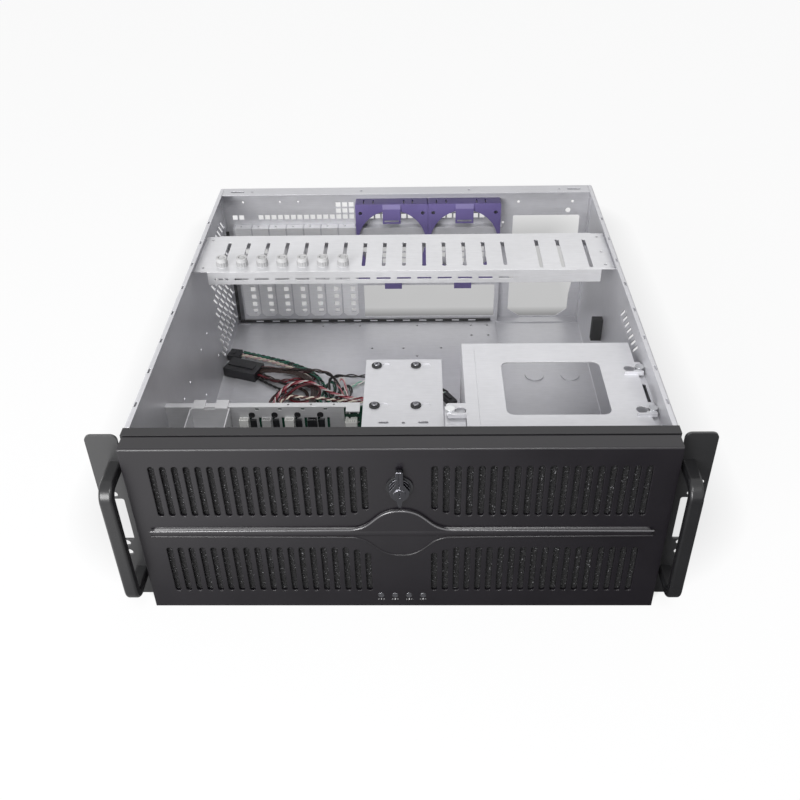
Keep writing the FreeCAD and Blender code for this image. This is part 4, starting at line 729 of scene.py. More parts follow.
class Dress(Enum):
    """The finish of each kind of piece."""

    BODY = SheetSteel("ZincBody", (0.60, 0.60, 0.625))
    REAR = SheetSteel("ZincRear", (0.56, 0.56, 0.585))
    # Lighter than the body's zinc all over, as painted light for the bar's lit front flange.
    BAR = SheetSteel("ZincBar", (0.71, 0.71, 0.73), roughness=0.38)
    CAGE = SheetSteel("ZincCage", (0.66, 0.66, 0.685), roughness=0.40)
    RAIL = SheetSteel("ZincRail", (0.60, 0.60, 0.615))
    PLATED = PlatedMetal("ZincPlate", (0.78, 0.79, 0.80))
    SCREW = PlatedMetal("ScrewPlate", (0.30, 0.30, 0.32), roughness=0.3)
    BLACK_SCREW = PlatedMetal("ScrewBlack", (0.03, 0.03, 0.032), roughness=0.35)
    NYLON = GrainedCoat("Nylon", (0.53, 0.53, 0.535), roughness=0.4, depth=0.05, contrast=0.05, rub=1.25)
    # A darker copy of the nylon, as painted shade on the collars under the post heads.
    NYLON_PAINTED_SHADE = GrainedCoat("NylonRibbedPaintedShade", (0.36, 0.36, 0.365), roughness=0.42, depth=0.05, contrast=0.05, rub=1.4)
    COVER_PLATE = SheetSteel("ZincCover", (0.74, 0.74, 0.755), roughness=0.36)
    PURPLE = GrainedCoat("PurpleMoulding", (0.118, 0.094, 0.240), roughness=0.42, size=1200.0)
    PANEL = GrainedCoat("BlackPanelCoat", (0.012, 0.0115, 0.013), roughness=0.42)
    DOOR = GrainedCoat("BlackDoorMoulding", (0.0060, 0.0048, 0.0070), roughness=0.32, size=1800.0, depth=0.10,
                       soften=1.4, specular=0.6)
    # Lighter than the door, as a painted highlight along the upper lip.
    DOOR_LIP_HIGHLIGHT = GrainedCoat("DoorLipPaintedHighlight", (0.075, 0.073, 0.078), roughness=0.13, size=1800.0, depth=0.02,
                           soften=0.2, specular=1.0)
    EAR = GrainedCoat("BlackEarCoat", (0.012, 0.012, 0.013), roughness=0.34, size=1300.0, specular=1.0)
    HANDLE = GrainedCoat("BlackHandleCoat", (0.011, 0.011, 0.012), roughness=0.30, size=1300.0, depth=0.08)
    COVER = GrainedCoat("BlackCoverMoulding", (0.02, 0.02, 0.022), roughness=0.5)
    RUBBER = GrainedCoat("Rubber", (0.030, 0.030, 0.031), roughness=0.75, size=600.0)
    FOAM = OpenFoam("FilterFoam", (0.0065, 0.006, 0.007))
    BOARD = CircuitBoard("GreenBoard", (0.007, 0.032, 0.020))
    PALE_PLUG = GrainedCoat("PaleHousing", (0.46, 0.46, 0.46), roughness=0.5, rub=1.2)
    WHITE_PLUG = GrainedCoat("WhiteHousing", (0.72, 0.72, 0.70), roughness=0.45, depth=0.04, rub=1.1)
    BLACK_PLUG = GrainedCoat("BlackHousing", (0.016, 0.016, 0.018), roughness=0.45)
    BEZEL = GrainedCoat("BlackBezel", (0.014, 0.014, 0.016), roughness=0.18, size=1800.0, depth=0.03, soften=0.5)
    # The knob's edges are lightened six times over, as a painted highlight.
    KNOB = PlatedMetal("DarkKnob", (0.10, 0.10, 0.11), roughness=0.14, soften=0.6, rub=6.0)
    RING = PlatedMetal("DarkRing", (0.22, 0.22, 0.235), roughness=0.20)
    LENS = SmokedLens("LampLens", (0.05, 0.05, 0.055))
    INK = GrainedCoat("WhiteInk", (0.62, 0.62, 0.62), roughness=0.5, depth=0.02, soften=0.05, rub=1.0)


MATERIALS: dict[Dress, Material] = {}


def finish(dress: Dress) -> Material:
    """Give the material of a dress, made once.

    Args:
        dress: The finish wanted.

    Returns:
        Its material.
    """
    if dress not in MATERIALS:
        MATERIALS[dress] = dress.value.build()
    return MATERIALS[dress]


NODE_DRESS: dict[str, Dress] = {
    "chassis_base": Dress.BODY, "rear_panel": Dress.REAR, "slot_cover": Dress.COVER_PLATE,
    "card_retainer_bar": Dress.BAR, "case_screws": Dress.SCREW, "front_screws": Dress.BLACK_SCREW,
    "hold_down_post": Dress.NYLON, "fan_holder": Dress.PURPLE, "front_panel": Dress.PANEL, "bay_cover": Dress.COVER,
    "power_button": Dress.COVER, "reset_button": Dress.COVER, "button_board": Dress.BOARD, "front_door": Dress.DOOR,
    "door_filter": Dress.FOAM, "filter_frame": Dress.PANEL, "led_lenses": Dress.LENS, "lock_bezel": Dress.BEZEL,
    "lock_knob": Dress.KNOB, "lock_cam": Dress.PLATED, "door_hinge_pins": Dress.PLATED, "ear_": Dress.EAR,
    "handle_": Dress.HANDLE, "bay_cage": Dress.CAGE, "cage_rail": Dress.CAGE, "cage_hangers": Dress.PLATED,
    "drive_bracket": Dress.CAGE, "bracket_grommets": Dress.RUBBER, "backplane_rail": Dress.RAIL,
    "backplane_board": Dress.BOARD, "backplane_connectors": Dress.PALE_PLUG, "port_box": Dress.RAIL,
    "supply_stop": Dress.RUBBER, "harness_connectors": Dress.BLACK_PLUG, "small_connector": Dress.BLACK_PLUG,
    "lead_": Dress.BLACK_PLUG,
}


def dress_frame() -> None:
    """Give every CAD node its finish, by the longest matching start of its name."""
    for name, node in NODES.items():
        key = max((key for key in NODE_DRESS if name.startswith(key)), key=len)
        material = finish(NODE_DRESS[key])
        for slot in node.material_slots:
            slot.material = material
        if not node.material_slots:
            node.data.materials.append(material)


def mount(parts: list[Piece], name: str, dress: Dress, body: str) -> Piece:
    """Join parts, give them one finish and let them ride on a body.

    Args:
        parts: The parts.
        name: The piece's name.
        dress: Its finish.
        body: The body.

    Returns:
        The piece.
    """
    piece = join(parts, name)
    piece.data.materials.clear()
    piece.data.materials.append(finish(dress))
    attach(piece, body)
    return piece


# ---------------------------------------------------------------- leads
class Lay(Enum):
    """How the wires of a lead lie together."""

    TWISTED = "twisted"
    FLAT = "flat"
    LOOSE = "loose"


WIRES: dict[str, Sheath] = {name: Sheath("Sheath_" + name, colour) for name, colour in {
    "pink": (0.55, 0.19, 0.22), "red": (0.23, 0.012, 0.025), "wine": (0.075, 0.010, 0.014),
    "white": (0.74, 0.71, 0.68), "cream": (0.66, 0.60, 0.50), "rose": (0.55, 0.38, 0.38),
    "black": (0.012, 0.012, 0.012), "brown": (0.060, 0.036, 0.030), "umber": (0.028, 0.018, 0.016),
    "green": (0.020, 0.130, 0.085), "pine": (0.012, 0.045, 0.028), "mint": (0.30, 0.55, 0.44),
}.items()}


@dataclass
class Lead:
    """One lead of several thin wires that follow a smooth route.

    Loose wires sway: loose_turn gives how far in radians, over how long a way and how far behind the wire before, and
    loose_reach gives the least share of the reach and then the same for what is added to it.
    """

    name: str
    node: str
    route: list[Triple]
    wires: list[str]
    width: float = 3.8
    wire: float = 1.9
    lay: Lay = Lay.TWISTED
    pitch: float = 11.0
    far_end: str = "connector"
    plug: str = "harness_connectors"
    detail: int = 20
    sides: int = 6
    closeness: float = 0.98
    ripple: tuple[float, float] = (0.25, 5.0)
    loose_turn: Triple = (0.9, 9.0, 1.7)
    loose_reach: tuple[float, float, float, float] = (0.75, 0.4, 17.0, 2.3)

    def centre_line(self) -> list[Vector]:
        """Read the smooth line of the route.

        Returns:
            Points along it in metres.
        """
        curve = bpy.data.curves.new(self.name + "_route", "CURVE")
        curve.dimensions = "3D"
        spline = curve.splines.new("NURBS")
        spline.points.add(len(self.route) - 1)
        for point, (x, y, z) in zip(spline.points, self.route):
            point.co = (x * MM, y * MM + EAR_PLANE, z * MM, 1.0)
        spline.order_u = 3
        spline.use_endpoint_u = True
        curve.resolution_u = self.detail
        holder = put_in_scene(self.name + "_route", curve)
        bpy.context.view_layer.update()
        mesh = bpy.data.meshes.new_from_object(holder)
        points = [vert.co.copy() for vert in mesh.vertices]
        bpy.data.meshes.remove(mesh)
        discard(holder)
        return points

    def offset(self, index: int, travelled: float) -> tuple[float, float]:
        """Say how far a wire lies from the middle of the lead.

        Args:
            index: Which wire.
            travelled: How far along the lead, in metres.

        Returns:
            The offset sideways and upwards, in millimetres.
        """
        count = len(self.wires)
        turns = travelled / (self.pitch * MM)
        reach = (self.width - self.wire) / 2
        if self.lay is Lay.FLAT:
            height, waves = self.ripple
            return (index - (count - 1) / 2) * self.wire * self.closeness, height * math.sin(turns * waves + index)
        angle = 2 * math.pi * (turns + index / count)
        if self.lay is Lay.LOOSE:
            swing, over, lag = self.loose_turn
            angle += swing * math.sin(travelled / (over * MM) + lag * index)
            least, swing, over, lag = self.loose_reach
            reach *= least + swing * math.sin(travelled / (over * MM) + lag * index)
        return reach * math.cos(angle), reach * math.sin(angle)

    def strand(self, line: list[Vector], index: int) -> list[Vector]:
        """Offset the line for one wire of the lead.

        Args:
            line: The centre line.
            index: Which wire.

        Returns:
            The wire's own points.
        """
        travelled, points = 0.0, []
        for i, point in enumerate(line):
            ahead = line[min(i + 1, len(line) - 1)] - line[max(i - 1, 0)]
            ahead.normalize()
            side = ahead.cross(UP)
            side = side.normalized() if side.length > 0.05 else Vector((1, 0, 0))
            if i:
                travelled += (point - line[i - 1]).length
            across, above = self.offset(index, travelled)
            points.append(point + (side * across + side.cross(ahead) * above) * MM)
        return points

    def tube(self, line: list[Vector], index: int) -> Piece:
        """Draw one wire as a round tube along its points.

        Args:
            line: The wire's points.
            index: Which wire.

        Returns:
            The tube.
        """
        bm = bmesh.new()
        radius = self.wire / 2 * MM
        rings = []
        normal = UP.copy()
        for i, point in enumerate(line):
            ahead = (line[min(i + 1, len(line) - 1)] - line[max(i - 1, 0)]).normalized()
            normal = (normal - ahead * normal.dot(ahead))
            normal = normal.normalized() if normal.length > 1e-4 else ahead.orthogonal().normalized()
            across = ahead.cross(normal)
            rings.append([bm.verts.new(point + (normal * math.cos(a) + across * math.sin(a)) * radius)
                          for a in (2 * math.pi * k / self.sides for k in range(self.sides))])
        for first, second in zip(rings, rings[1:]):
            for k in range(self.sides):
                after = (k + 1) % self.sides
                bm.faces.new((first[k], first[after], second[after], second[k]))
        bm.faces.new(reversed(rings[0]))
        bm.faces.new(rings[-1])
        for face in bm.faces:
            face.smooth = True
        bmesh.ops.recalc_face_normals(bm, faces=bm.faces)
        name = f"{self.name}_wire_{index}"
        mesh = bpy.data.meshes.new(name)
        bm.to_mesh(mesh)
        bm.free()
        return put_in_scene(name, mesh)

    def build(self, sheaths: dict[str, Material]) -> Piece:
        """Args:
            sheaths: Wire materials by colour name.

        Returns:
            The lead's object.
        """
        line, tubes = self.centre_line(), []
        for index, colour in enumerate(self.wires):
            tubes.append(self.tube(self.strand(line, index), index))
            tubes[-1].data.materials.append(sheaths[colour])
        piece = join(tubes, self.name)
        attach(piece, "chassis")
        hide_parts(self.node)
        return piece


@dataclass
class LeadBundle:
    """The leads that run from the drive backplane over the floor."""

    socket_first: float = -132.0
    socket_pitch: float = 10.4
    socket_z: float = 96.0
    socket_back: float = 122.3

    def socket(self, index: int, aside: float = 0.0, up: float = 0.0) -> Triple:
        """Give a place on a socket's rear face.

        Args:
            index: Which socket, from the left.
            aside: How far right of its middle.
            up: How far above its middle.

        Returns:
            Its x, y and z in millimetres.
        """
        return (self.socket_first + self.socket_pitch * index + aside, self.socket_back, self.socket_z + up)

    def leads(self) -> list[Lead]:
        """List the leads with their routes.

        Returns:
            The leads.
        """
        z = self.socket_z
        return [
            Lead("wires_red", "lead_red",
                 [self.socket(0), (-132, 150, z), (-137, 174, 62), (-141, 206, 36), (-143.5, 238, 17), (-143, 268, 12),
                  (-132, 290, 14.5), (-108, 291, 19), (-88, 272, 19), (-66, 263.5, 15), (-43, 268, 10),
                  (-15, 281, 6.4), (14, 290, 6), (32, 288, 6.2), (40.6, 278.2, 6.4)], ["pink", "red", "white"],
                 width=3.6, wire=1.6, pitch=16, plug="small_connector"),
            Lead("wires_black", "lead_black",
                 [self.socket(1), (-121.6, 150, z), (-122, 172, 58), (-120.5, 204, 30), (-119, 238, 10),
                  (-121, 268, 5.2), (-133, 288, 5), (-152, 300, 5.4), (-171.3, 314.4, 6.2)], ["black", "black"],
                 width=3.0, wire=1.5, pitch=14),
            Lead("wires_flat", "lead_flat",
                 [self.socket(2), (-111.2, 150, z), (-109, 174, 58), (-106, 206, 34), (-101, 240, 20),
                  (-99, 272, 17), (-106, 296, 16), (-125, 312, 15), (-147, 320, 12.5), (-168.2, 323.5, 9.6)],
                 ["brown", "umber", "brown", "umber", "brown", "umber"], width=7.4, wire=1.3, lay=Lay.FLAT),
            Lead("wires_white", "lead_white",
                 [self.socket(3), (-100.8, 150, z), (-98.5, 174, 58), (-97, 206, 30), (-96, 240, 10),
                  (-96.5, 272, 6), (-103, 304, 7), (-122, 324, 8.6), (-148, 338, 9.4), (-172, 348, 9.6),
                  (-193.5, 357, 8.6)], ["cream", "rose"], width=4.4, wire=2.1, pitch=12),
            Lead("wires_green", "lead_green",
                 [self.socket(4), (-90.4, 150, z), (-88.5, 174, 58), (-87.5, 206, 30), (-87, 240, 10),
                  (-87, 272, 6), (-92, 302, 6), (-108, 326, 6.4), (-132, 341, 7), (-158, 352, 7.4),
                  (-192, 364, 8)], ["green", "black"], width=4.2, wire=2.1, pitch=13),
            Lead("wires_mint", "lead_mint",
                 [self.socket(5), (-80, 150, z), (-77.5, 174, 58), (-76.5, 206, 30), (-76, 240, 10), (-75, 270, 5.6),
                  (-66, 296, 5), (-44, 311, 5), (-14, 312, 5), (14, 305, 5), (34, 293, 5.4), (44.4, 280.6, 6.4)],
                 ["mint", "white"], width=3.4, wire=1.6, pitch=18, plug="small_connector"),
        ]

    def slack(self) -> list[Lead]:
        """List the looser wires that leave the same sockets and heap up behind the rail.

        Returns:
            The loose leads.
        """
        loose = {"width": 4.6, "wire": 1.5, "lay": Lay.LOOSE, "pitch": 46.0, "detail": 12}
        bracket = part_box("drive_bracket")[0][0] / MM
        return [
            Lead("heap_red", "lead_red",
                 [self.socket(0, 3, -3), (-128, 148, 90), (-130, 176, 60), (-134, 208, 38), (-137, 240, 20),
                  (-135, 266, 14), (-119, 284, 16), (-100, 284, 18), (-92, 268, 18), (-104, 254, 15),
                  (-124, 260, 14), (-136, 278, 12), (-127, 296, 11), (-108, 300, 11), (-112, 306, 11.5),
                  (-134, 304, 9), (-152, 304, 8.6), (-169.5, 316, 8.6)], ["red", "wine", "umber", "wine"], **loose),
            Lead("heap_wine", "lead_red",
                 [self.socket(0, -3, -3), (-135, 148, 90), (-141, 176, 56), (-146, 208, 32), (-149, 240, 14),
                  (-148, 268, 9), (-138, 288, 9), (-120, 294, 13), (-103, 286, 14), (-100, 270, 12),
                  (-112, 262, 9), (-127, 270, 8), (-130, 286, 7), (-118, 300, 7), (-100, 312, 7.4),
                  (-116, 322, 9), (-140, 325, 11), (-169, 327, 10.8)], ["wine", "umber", "wine"], **loose),
            Lead("heap_brown", "lead_black",
                 [self.socket(1, 3, -3), (-117, 148, 90), (-117, 174, 54), (-114, 206, 28), (-112, 240, 8),
                  (-114, 266, 6), (-126, 282, 6.6), (-140, 278, 9), (-143, 262, 11), (-132, 252, 11),
                  (-116, 256, 9), (-106, 272, 7), (-112, 290, 7), (-130, 298, 7), (-150, 308, 8),
                  (-168.6, 319, 8.6)], ["umber", "brown", "black", "umber"], **loose),
            Lead("heap_green", "lead_green",
                 [self.socket(4, -3, -3), (-94, 148, 90), (-92.5, 174, 54), (-92, 206, 27), (-92, 240, 9),
                  (-94, 266, 8), (-90, 286, 10), (-84, 300, 12), (-78, 290, 12), (-81, 270, 11), (-88, 256, 11),
                  (-97, 262, 12), (-99, 282, 12), (-97, 303, 10), (-110, 321, 9), (-134, 334, 9),
                  (-160, 347, 9.4), (-192, 360.5, 9.6)], ["green", "pine", "green", "black"], **loose),
            Lead("heap_black", "lead_mint",
                 [self.socket(5, -3, -3), (-83.5, 148, 90), (-82, 174, 54), (-81.5, 206, 27), (-80, 240, 9),
                  (-78, 266, 8), (-73, 284, 8), (-66, 296, 9), (-60, 288, 9), (-62, 270, 9), (-70, 256, 9),
                  (-80, 262, 12), (-85, 282, 15), (-86, 301, 15), (-78, 312, 11), (-60, 314, 8), (-36, 314, 7),
                  (-10, 313, 7), (16, 307, 7), (36, 294, 7), (45.6, 281.6, 7.6)],
                 ["black", "umber", "black"], plug="small_connector", **loose),
            Lead("heap_pink", "lead_mint",
                 [self.socket(5, 3, 2), (-76, 148, 97), (-70, 174, 60), (-66, 206, 32), (-63, 240, 12),
                  (-62, 264, 10), (-66, 284, 10), (-70, 304, 12), (-76, 300, 14), (-74, 280, 14), (-66, 262, 13),
                  (-55, 262, 11), (-42, 270, 9), (-14, 282, 8), (14, 291.5, 7.5), (33, 289.5, 7.5),
                  (42, 279.6, 7.6)], ["pink", "white", "rose"], plug="small_connector", **loose),
            Lead("heap_arc", "lead_black",
                 [self.socket(4, 3, -3), (-86, 148, 90), (-82, 174, 54), (-78, 206, 27), (-73, 240, 10),
                  (-70, 268, 12), (-75, 292, 15), (-87, 308, 17), (-104, 313, 17), (-124, 316, 16),
                  (-146, 322, 13), (-170, 327, 11.5)], ["umber", "brown", "umber", "black"], **loose),
            Lead("rail_pair", "lead_white",
                 [self.socket(1, 0, 3), (-118, 136, 101), (-106, 152, 101.5), (-92, 148, 101), (-78, 148, 101.2),
                  (-66, 147, 99), (bracket - 0.1, 146, 97)], ["cream", "wine"], width=3.2, wire=1.6, pitch=10,
                 far_end="object"),
        ]

    def build(self) -> list[Piece]:
        """Build all leads.

        Returns:
            Their objects.
        """
        sheaths = {name: sheath.build() for name, sheath in WIRES.items()}
        return [lead.build(sheaths) for lead in self.leads() + self.slack()]


# ---------------------------------------------------------------- small fittings
@dataclass
class CrossHeadScrew:
    """Pan-headed screw with a cross recess, modelled once and copied to each place."""

    recess_reach: float = 0.62
    recess_width: float = 0.24
    recess_depth: float = 0.55
    rim: float = 0.9
    neck: float = 0.5
    crown: float = 0.55
    smooth: float = 35.0
    spin: float = 0.7
    sides: int = 24

    def places(self, node: str) -> list[tuple[Vector, Vector, float, float, float]]:
        """Find the screws of a CAD node.

        Args:
            node: The node that holds them.

        Returns:
            For each, the seat of its head, the way it points, and its head radius, head height and shank length.
        """
        found = []
        for low, high, points in solids_of(node):
            size, middle = high - low, (low + high) / 2
            axis = max(range(3), key=lambda i: abs(size[i] - size[(i + 1) % 3]) + abs(size[i] - size[(i + 2) % 3]))
            wide = [(axis + 1) % 3, (axis + 2) % 3]
            radius = size[wide[0]] / 2
            rim = [point[axis] for point in points
                   if math.dist([point[i] for i in wide], [middle[i] for i in wide]) > self.rim * radius]
            sign = 1.0 if sum(rim) / len(rim) > middle[axis] else -1.0
            seat, way = middle.copy(), Vector((0, 0, 0))
            seat[axis] = min(rim) if sign > 0 else max(rim)
            way[axis] = sign
            height = max(rim) - min(rim)
            found.append((seat, way, radius, height, size[axis] - height))
        return found

    def model(self, radius: float, height: float, shank: float) -> Piece:
        """Model one screw that points up, with its head's seat at the origin.

        Args:
            radius: Head radius in metres.
            height: Head height in metres.
            shank: Shank length in metres.

        Returns:
            The screw.
        """
        head = rod_piece(radius, height, self.sides, (0, 0, height / 2))
        bpy.ops.object.transform_apply(location=True)
        push_faces(head, -UP, radius * self.neck, -UP * shank)
        bpy.ops.object.mode_set(mode="EDIT")
        bpy.ops.mesh.select_all(action="DESELECT")
        bm = bmesh.from_edit_mesh(head.data)
        for edge in bm.edges:
            edge.select_set(all(abs(vert.co.z - height) < 0.1 * SAME_POINT for vert in edge.verts))
        bmesh.update_edit_mesh(head.data)
        bpy.ops.mesh.bevel(offset=height * self.crown, segments=3)
        bpy.ops.object.mode_set(mode="OBJECT")
        arm = (2 * radius * self.recess_reach, 2 * radius * self.recess_width, 2 * height * self.recess_depth)
        cutters = [box_piece((0, 0, height), arm, turn=(0, 0, turn)) for turn in (0.0, math.pi / 2)]
        for cutter in cutters:
            recess = head.modifiers.new("Recess", "BOOLEAN")
            recess.operation, recess.object, recess.solver = "DIFFERENCE", cutter, "EXACT"
        apply_modifiers(head)
        discard(*cutters)
        make_active(head)
        bpy.ops.object.shade_smooth_by_angle(angle=math.radians(self.smooth))
        return head

    def build(self, node: str, body: str, dress: Dress) -> Piece:
        """Set every screw of a node and take the node's place.

        Args:
            node: The CAD node.
            body: The body that the screws ride on.
            dress: Their finish.

        Returns:
            The screws as one piece.
        """
        models: dict[tuple[float, ...], Piece] = {}
        copies = []
        for i, (seat, way, *sizes) in enumerate(self.places(node)):
            key = tuple(round(size, 5) for size in sizes)
            if key not in models:
                models[key] = self.model(*sizes)
            turn = way.to_track_quat("Z", "Y").to_matrix().to_4x4()
            spin = Matrix.Rotation(self.spin * i, 4, "Z")
            copies.append(copy_of(models[key], Matrix.Translation(seat) @ turn @ spin))
        discard(*models.values())
        piece = mount(copies, node + "_heads", dress, body)
        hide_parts(node)
        return piece


@dataclass
class FilterFoam:
    """A sheet of open-cell foam behind one side of the door."""

    node: str
    cell: float = 0.95
    lump: float = 0.9
    pore: float = 2.1
    shrink: float = 0.45
    corner: float = 1.2

    def build(self) -> Piece:
        """Model the foam and take the CAD sheet's place.

        Returns:
            The foam.
        """
        low, high = (Vector(corner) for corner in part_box(self.node))
        foam = box_piece((low + high) / 2, high - low - Vector((1, 1, 1)) * 2 * self.shrink * MM, self.corner)
        cells = foam.modifiers.new("Cells", "REMESH")
        cells.mode, cells.voxel_size = "VOXEL", self.cell * MM
        pores = bpy.data.textures.new(self.node + "_pores", "VORONOI")
        pores.noise_scale, pores.distance_metric = self.pore * MM, "DISTANCE_SQUARED"
        lumps = foam.modifiers.new("Pores", "DISPLACE")
        lumps.texture, lumps.strength, lumps.mid_level = pores, -self.lump * MM, 0.5
        apply_modifiers(foam)
        bpy.ops.object.shade_smooth()
        piece = mount([foam], self.node + "_foam", Dress.FOAM, "door")
        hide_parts(self.node)
        return piece


@dataclass
class LampRow:
    """The rings of the four lamps in the door and a plain number under each."""

    ring: float = 0.35
    ring_flatness: float = 0.8
    ring_segments: tuple[int, int] = (28, 8)
    seat: float = 0.5
    number_size: float = 2.7
    number_drop: float = 5.6
    thickness: float = 0.08

    def ring_model(self, middle: Vector, radius: float) -> Piece:
        """Model one ring round a lamp.

        Args:
            middle: Its middle, in metres.
            radius: The lamp's radius, in metres.

        Returns:
            The ring.
        """
        clear_selection()
        around, across = self.ring_segments
        bpy.ops.mesh.primitive_torus_add(major_radius=radius + self.ring * 0.5 * MM, minor_radius=self.ring * MM,
                                         major_segments=around, minor_segments=across, location=middle,
                                         rotation=TURNED_TO_FRONT)
        bpy.ops.object.mode_set(mode="EDIT")
        bpy.ops.mesh.select_all(action="SELECT")
        bpy.ops.transform.resize(value=(1.0, self.ring_flatness, 1.0))
        bpy.ops.object.mode_set(mode="OBJECT")
        bpy.ops.object.shade_smooth()
        return bpy.context.object

    def number_model(self, middle: Vector, number: int) -> Piece:
        """Model one number between dashes.

        Args:
            middle: The lamp's middle, in metres.
            number: The number.

        Returns:
            The number.
        """
        clear_selection()
        place = middle - Vector((0, self.thickness, self.number_drop)) * MM
        bpy.ops.object.text_add(location=place, rotation=TURNED_TO_FRONT)
        mark = bpy.context.object.data
        mark.body = f"– {number} –"
        mark.size = self.number_size * MM
        mark.align_x = "CENTER"
        mark.extrude = self.thickness * MM
        bpy.ops.object.convert(target="MESH")
        return bpy.context.object

    def build(self) -> list[Piece]:
        """Model the rings and the numbers.

        Returns:
            The rings and the numbers as two pieces.
        """
        lamps = sorted(solids_of("led_lenses"), key=lambda solid: solid[0].x)
        face = min(low.y for low, _high, _points in lamps) + self.seat * MM
        rings, numbers = [], []
        for i, (low, high, _points) in enumerate(lamps):
            middle = Vector(((low.x + high.x) / 2, face, (low.z + high.z) / 2))
            rings.append(self.ring_model(middle, (high.x - low.x) / 2))
            numbers.append(self.number_model(middle, i + 1))
        return [mount(rings, "lamp_rings", Dress.RING, "door"), mount(numbers, "lamp_numbers", Dress.INK, "door")]


@dataclass
class DoorLips:
    """Rounded glossy lips along the ridge across the door and over the raised eye, the upper one lighter as a painted
    highlight.
    """

    bead: float = 0.80
    inner: float = 3.9
    crest: float = 2.64
    end: float = 2.5
    flat: float = 0.02

    def lip(self, points: list[Vector], name: str, dress: Dress) -> Piece:
        """Draw a round bead along points.

        Args:
            points: The bead's middle line.
            name: The bead's name.
            dress: Its finish.

        Returns:
            The bead.
        """
        curve = bpy.data.curves.new(name, "CURVE")
        curve.dimensions = "3D"
        spline = curve.splines.new("POLY")
        spline.points.add(len(points) - 1)
        for knot, point in zip(spline.points, points):
            knot.co = (*point, 1.0)
        curve.bevel_depth = self.bead * MM
        curve.bevel_resolution = 3
        curve.use_fill_caps = True
        make_active(put_in_scene(name, curve))
        bpy.ops.object.convert(target="MESH")
        bpy.ops.object.shade_smooth()
        bpy.context.object.data.materials.append(finish(dress))
        return bpy.context.object

    def build(self) -> Piece:
        """Draw the upper and the lower lip on the door.

        Returns:
            The lips as one piece.
        """
        points = [vert.co for vert in NODES["front_door"].data.vertices]
        top = min(point.y for point in points)
        ridge = [point for point in points if point.y < top + self.flat * MM]
        middle = (min(point.z for point in ridge) + max(point.z for point in ridge)) / 2
        reach = max(point.x for point in ridge) + (self.inner - self.end) * MM
        far = [point for point in points if abs(point.z - middle) > self.inner * MM]
        face = min(point.y for point in far)
        lips = []
        # The upper lip takes the lighter finish as a painted highlight; the lower one keeps the door's own.
        for side, name, dress in ((1, "lip_upper", Dress.DOOR_LIP_HIGHLIGHT), (-1, "lip_lower", Dress.DOOR)):
            outline = {round(point.x, 5): point for point in far
                       if abs(point.y - face) < self.flat * MM and (point.z - middle) * side > 0}
            line = [outline[key].copy() for key in sorted(outline)]
            ends = [Vector((way * reach, face, middle + side * self.crest * MM)) for way in (-1, 1)]
            lips.append(self.lip([ends[0]] + line + [ends[1]], name, dress))
        piece = join(lips, "door_lips")
        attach(piece, "door")
        return piece


@dataclass
class DriveSockets:
    """Open-topped plug sockets on the backplane, in the place of the plain blocks."""

    wall: float = 0.9
    sink: float = 3.5
    chamfer: float = 0.175
    pin: float = 0.7
    pin_sides: int = 8
    pin_taper: float = 0.2
    pin_tip: float = 0.3
    pin_pitch: float = 2.0
    pin_seat: float = 0.6
    pin_length: float = 0.8

    def pin_model(self, place: Vector, way: Vector) -> Piece:
        """Model one pin with a tapered tip.

        Args:
            place: Its middle.
            way: The way it points.

        Returns:
            The pin.
        """
        turn = way.to_track_quat("Z", "Y").to_euler()
        pin = rod_piece(self.pin / 2 * MM, self.sink * MM * self.pin_length, self.pin_sides, place, turn)
        push_faces(pin, UP, self.pin * self.pin_taper * MM, self.pin * self.pin_tip * MM * way, extrude=False)
        pin.data.materials.append(finish(Dress.PLATED))
        return pin

    def socket(self, low: Vector, high: Vector, way: Vector, dress: Dress, name: str) -> Piece:
        """Model one socket with a cavity that opens one way and pins in it.

        Args:
            low: Lowest corner.
            high: Highest corner.
            way: The way the cavity opens.
            dress: The housing's finish.
            name: The piece's name.

        Returns:
            The socket.
        """
        size, middle = high - low, (low + high) / 2
        shell = box_piece(middle, size)
        push_faces(shell, way, self.wall * MM, -self.sink * MM * way)
        soften = shell.modifiers.new("Soften", "BEVEL")
        soften.width, soften.segments = self.chamfer * MM, 2
        apply_modifiers(shell)
        shell.data.materials.append(finish(dress))
        count = max(2, int((size.x - 2 * self.wall * MM) / (self.pin_pitch * MM)))
        depth = way * (abs(size.dot(way)) / 2 - self.sink * MM * self.pin_seat)
        pins = [self.pin_model(middle + Vector(((i - (count - 1) / 2) * self.pin_pitch * MM, 0, 0)) + depth, way)
                for i in range(count)]
        return join([shell] + pins, name)

    def build(self) -> list[Piece]:
        """Model every socket and take the CAD node's place.

        Returns:
            The sockets.
        """
        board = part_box("backplane_board")[0][1]
        fronts = [Dress.WHITE_PLUG, Dress.PALE_PLUG, Dress.WHITE_PLUG, Dress.BLACK_PLUG, Dress.WHITE_PLUG]
        pieces, front_count = [], 0
        for i, (low, high, _points) in enumerate(sorted(solids_of("backplane_connectors"), key=lambda s: s[0].x)):
            way, dress = Vector((0, 1, 0)), Dress.WHITE_PLUG
            if low.y <= board:
                way, dress = UP, fronts[front_count % len(fronts)]
                front_count += 1
            piece = self.socket(low, high, way, dress, f"backplane_socket_{i + 1}")
            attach(piece, "chassis")
            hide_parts("backplane_connectors")
            pieces.append(piece)
        return pieces


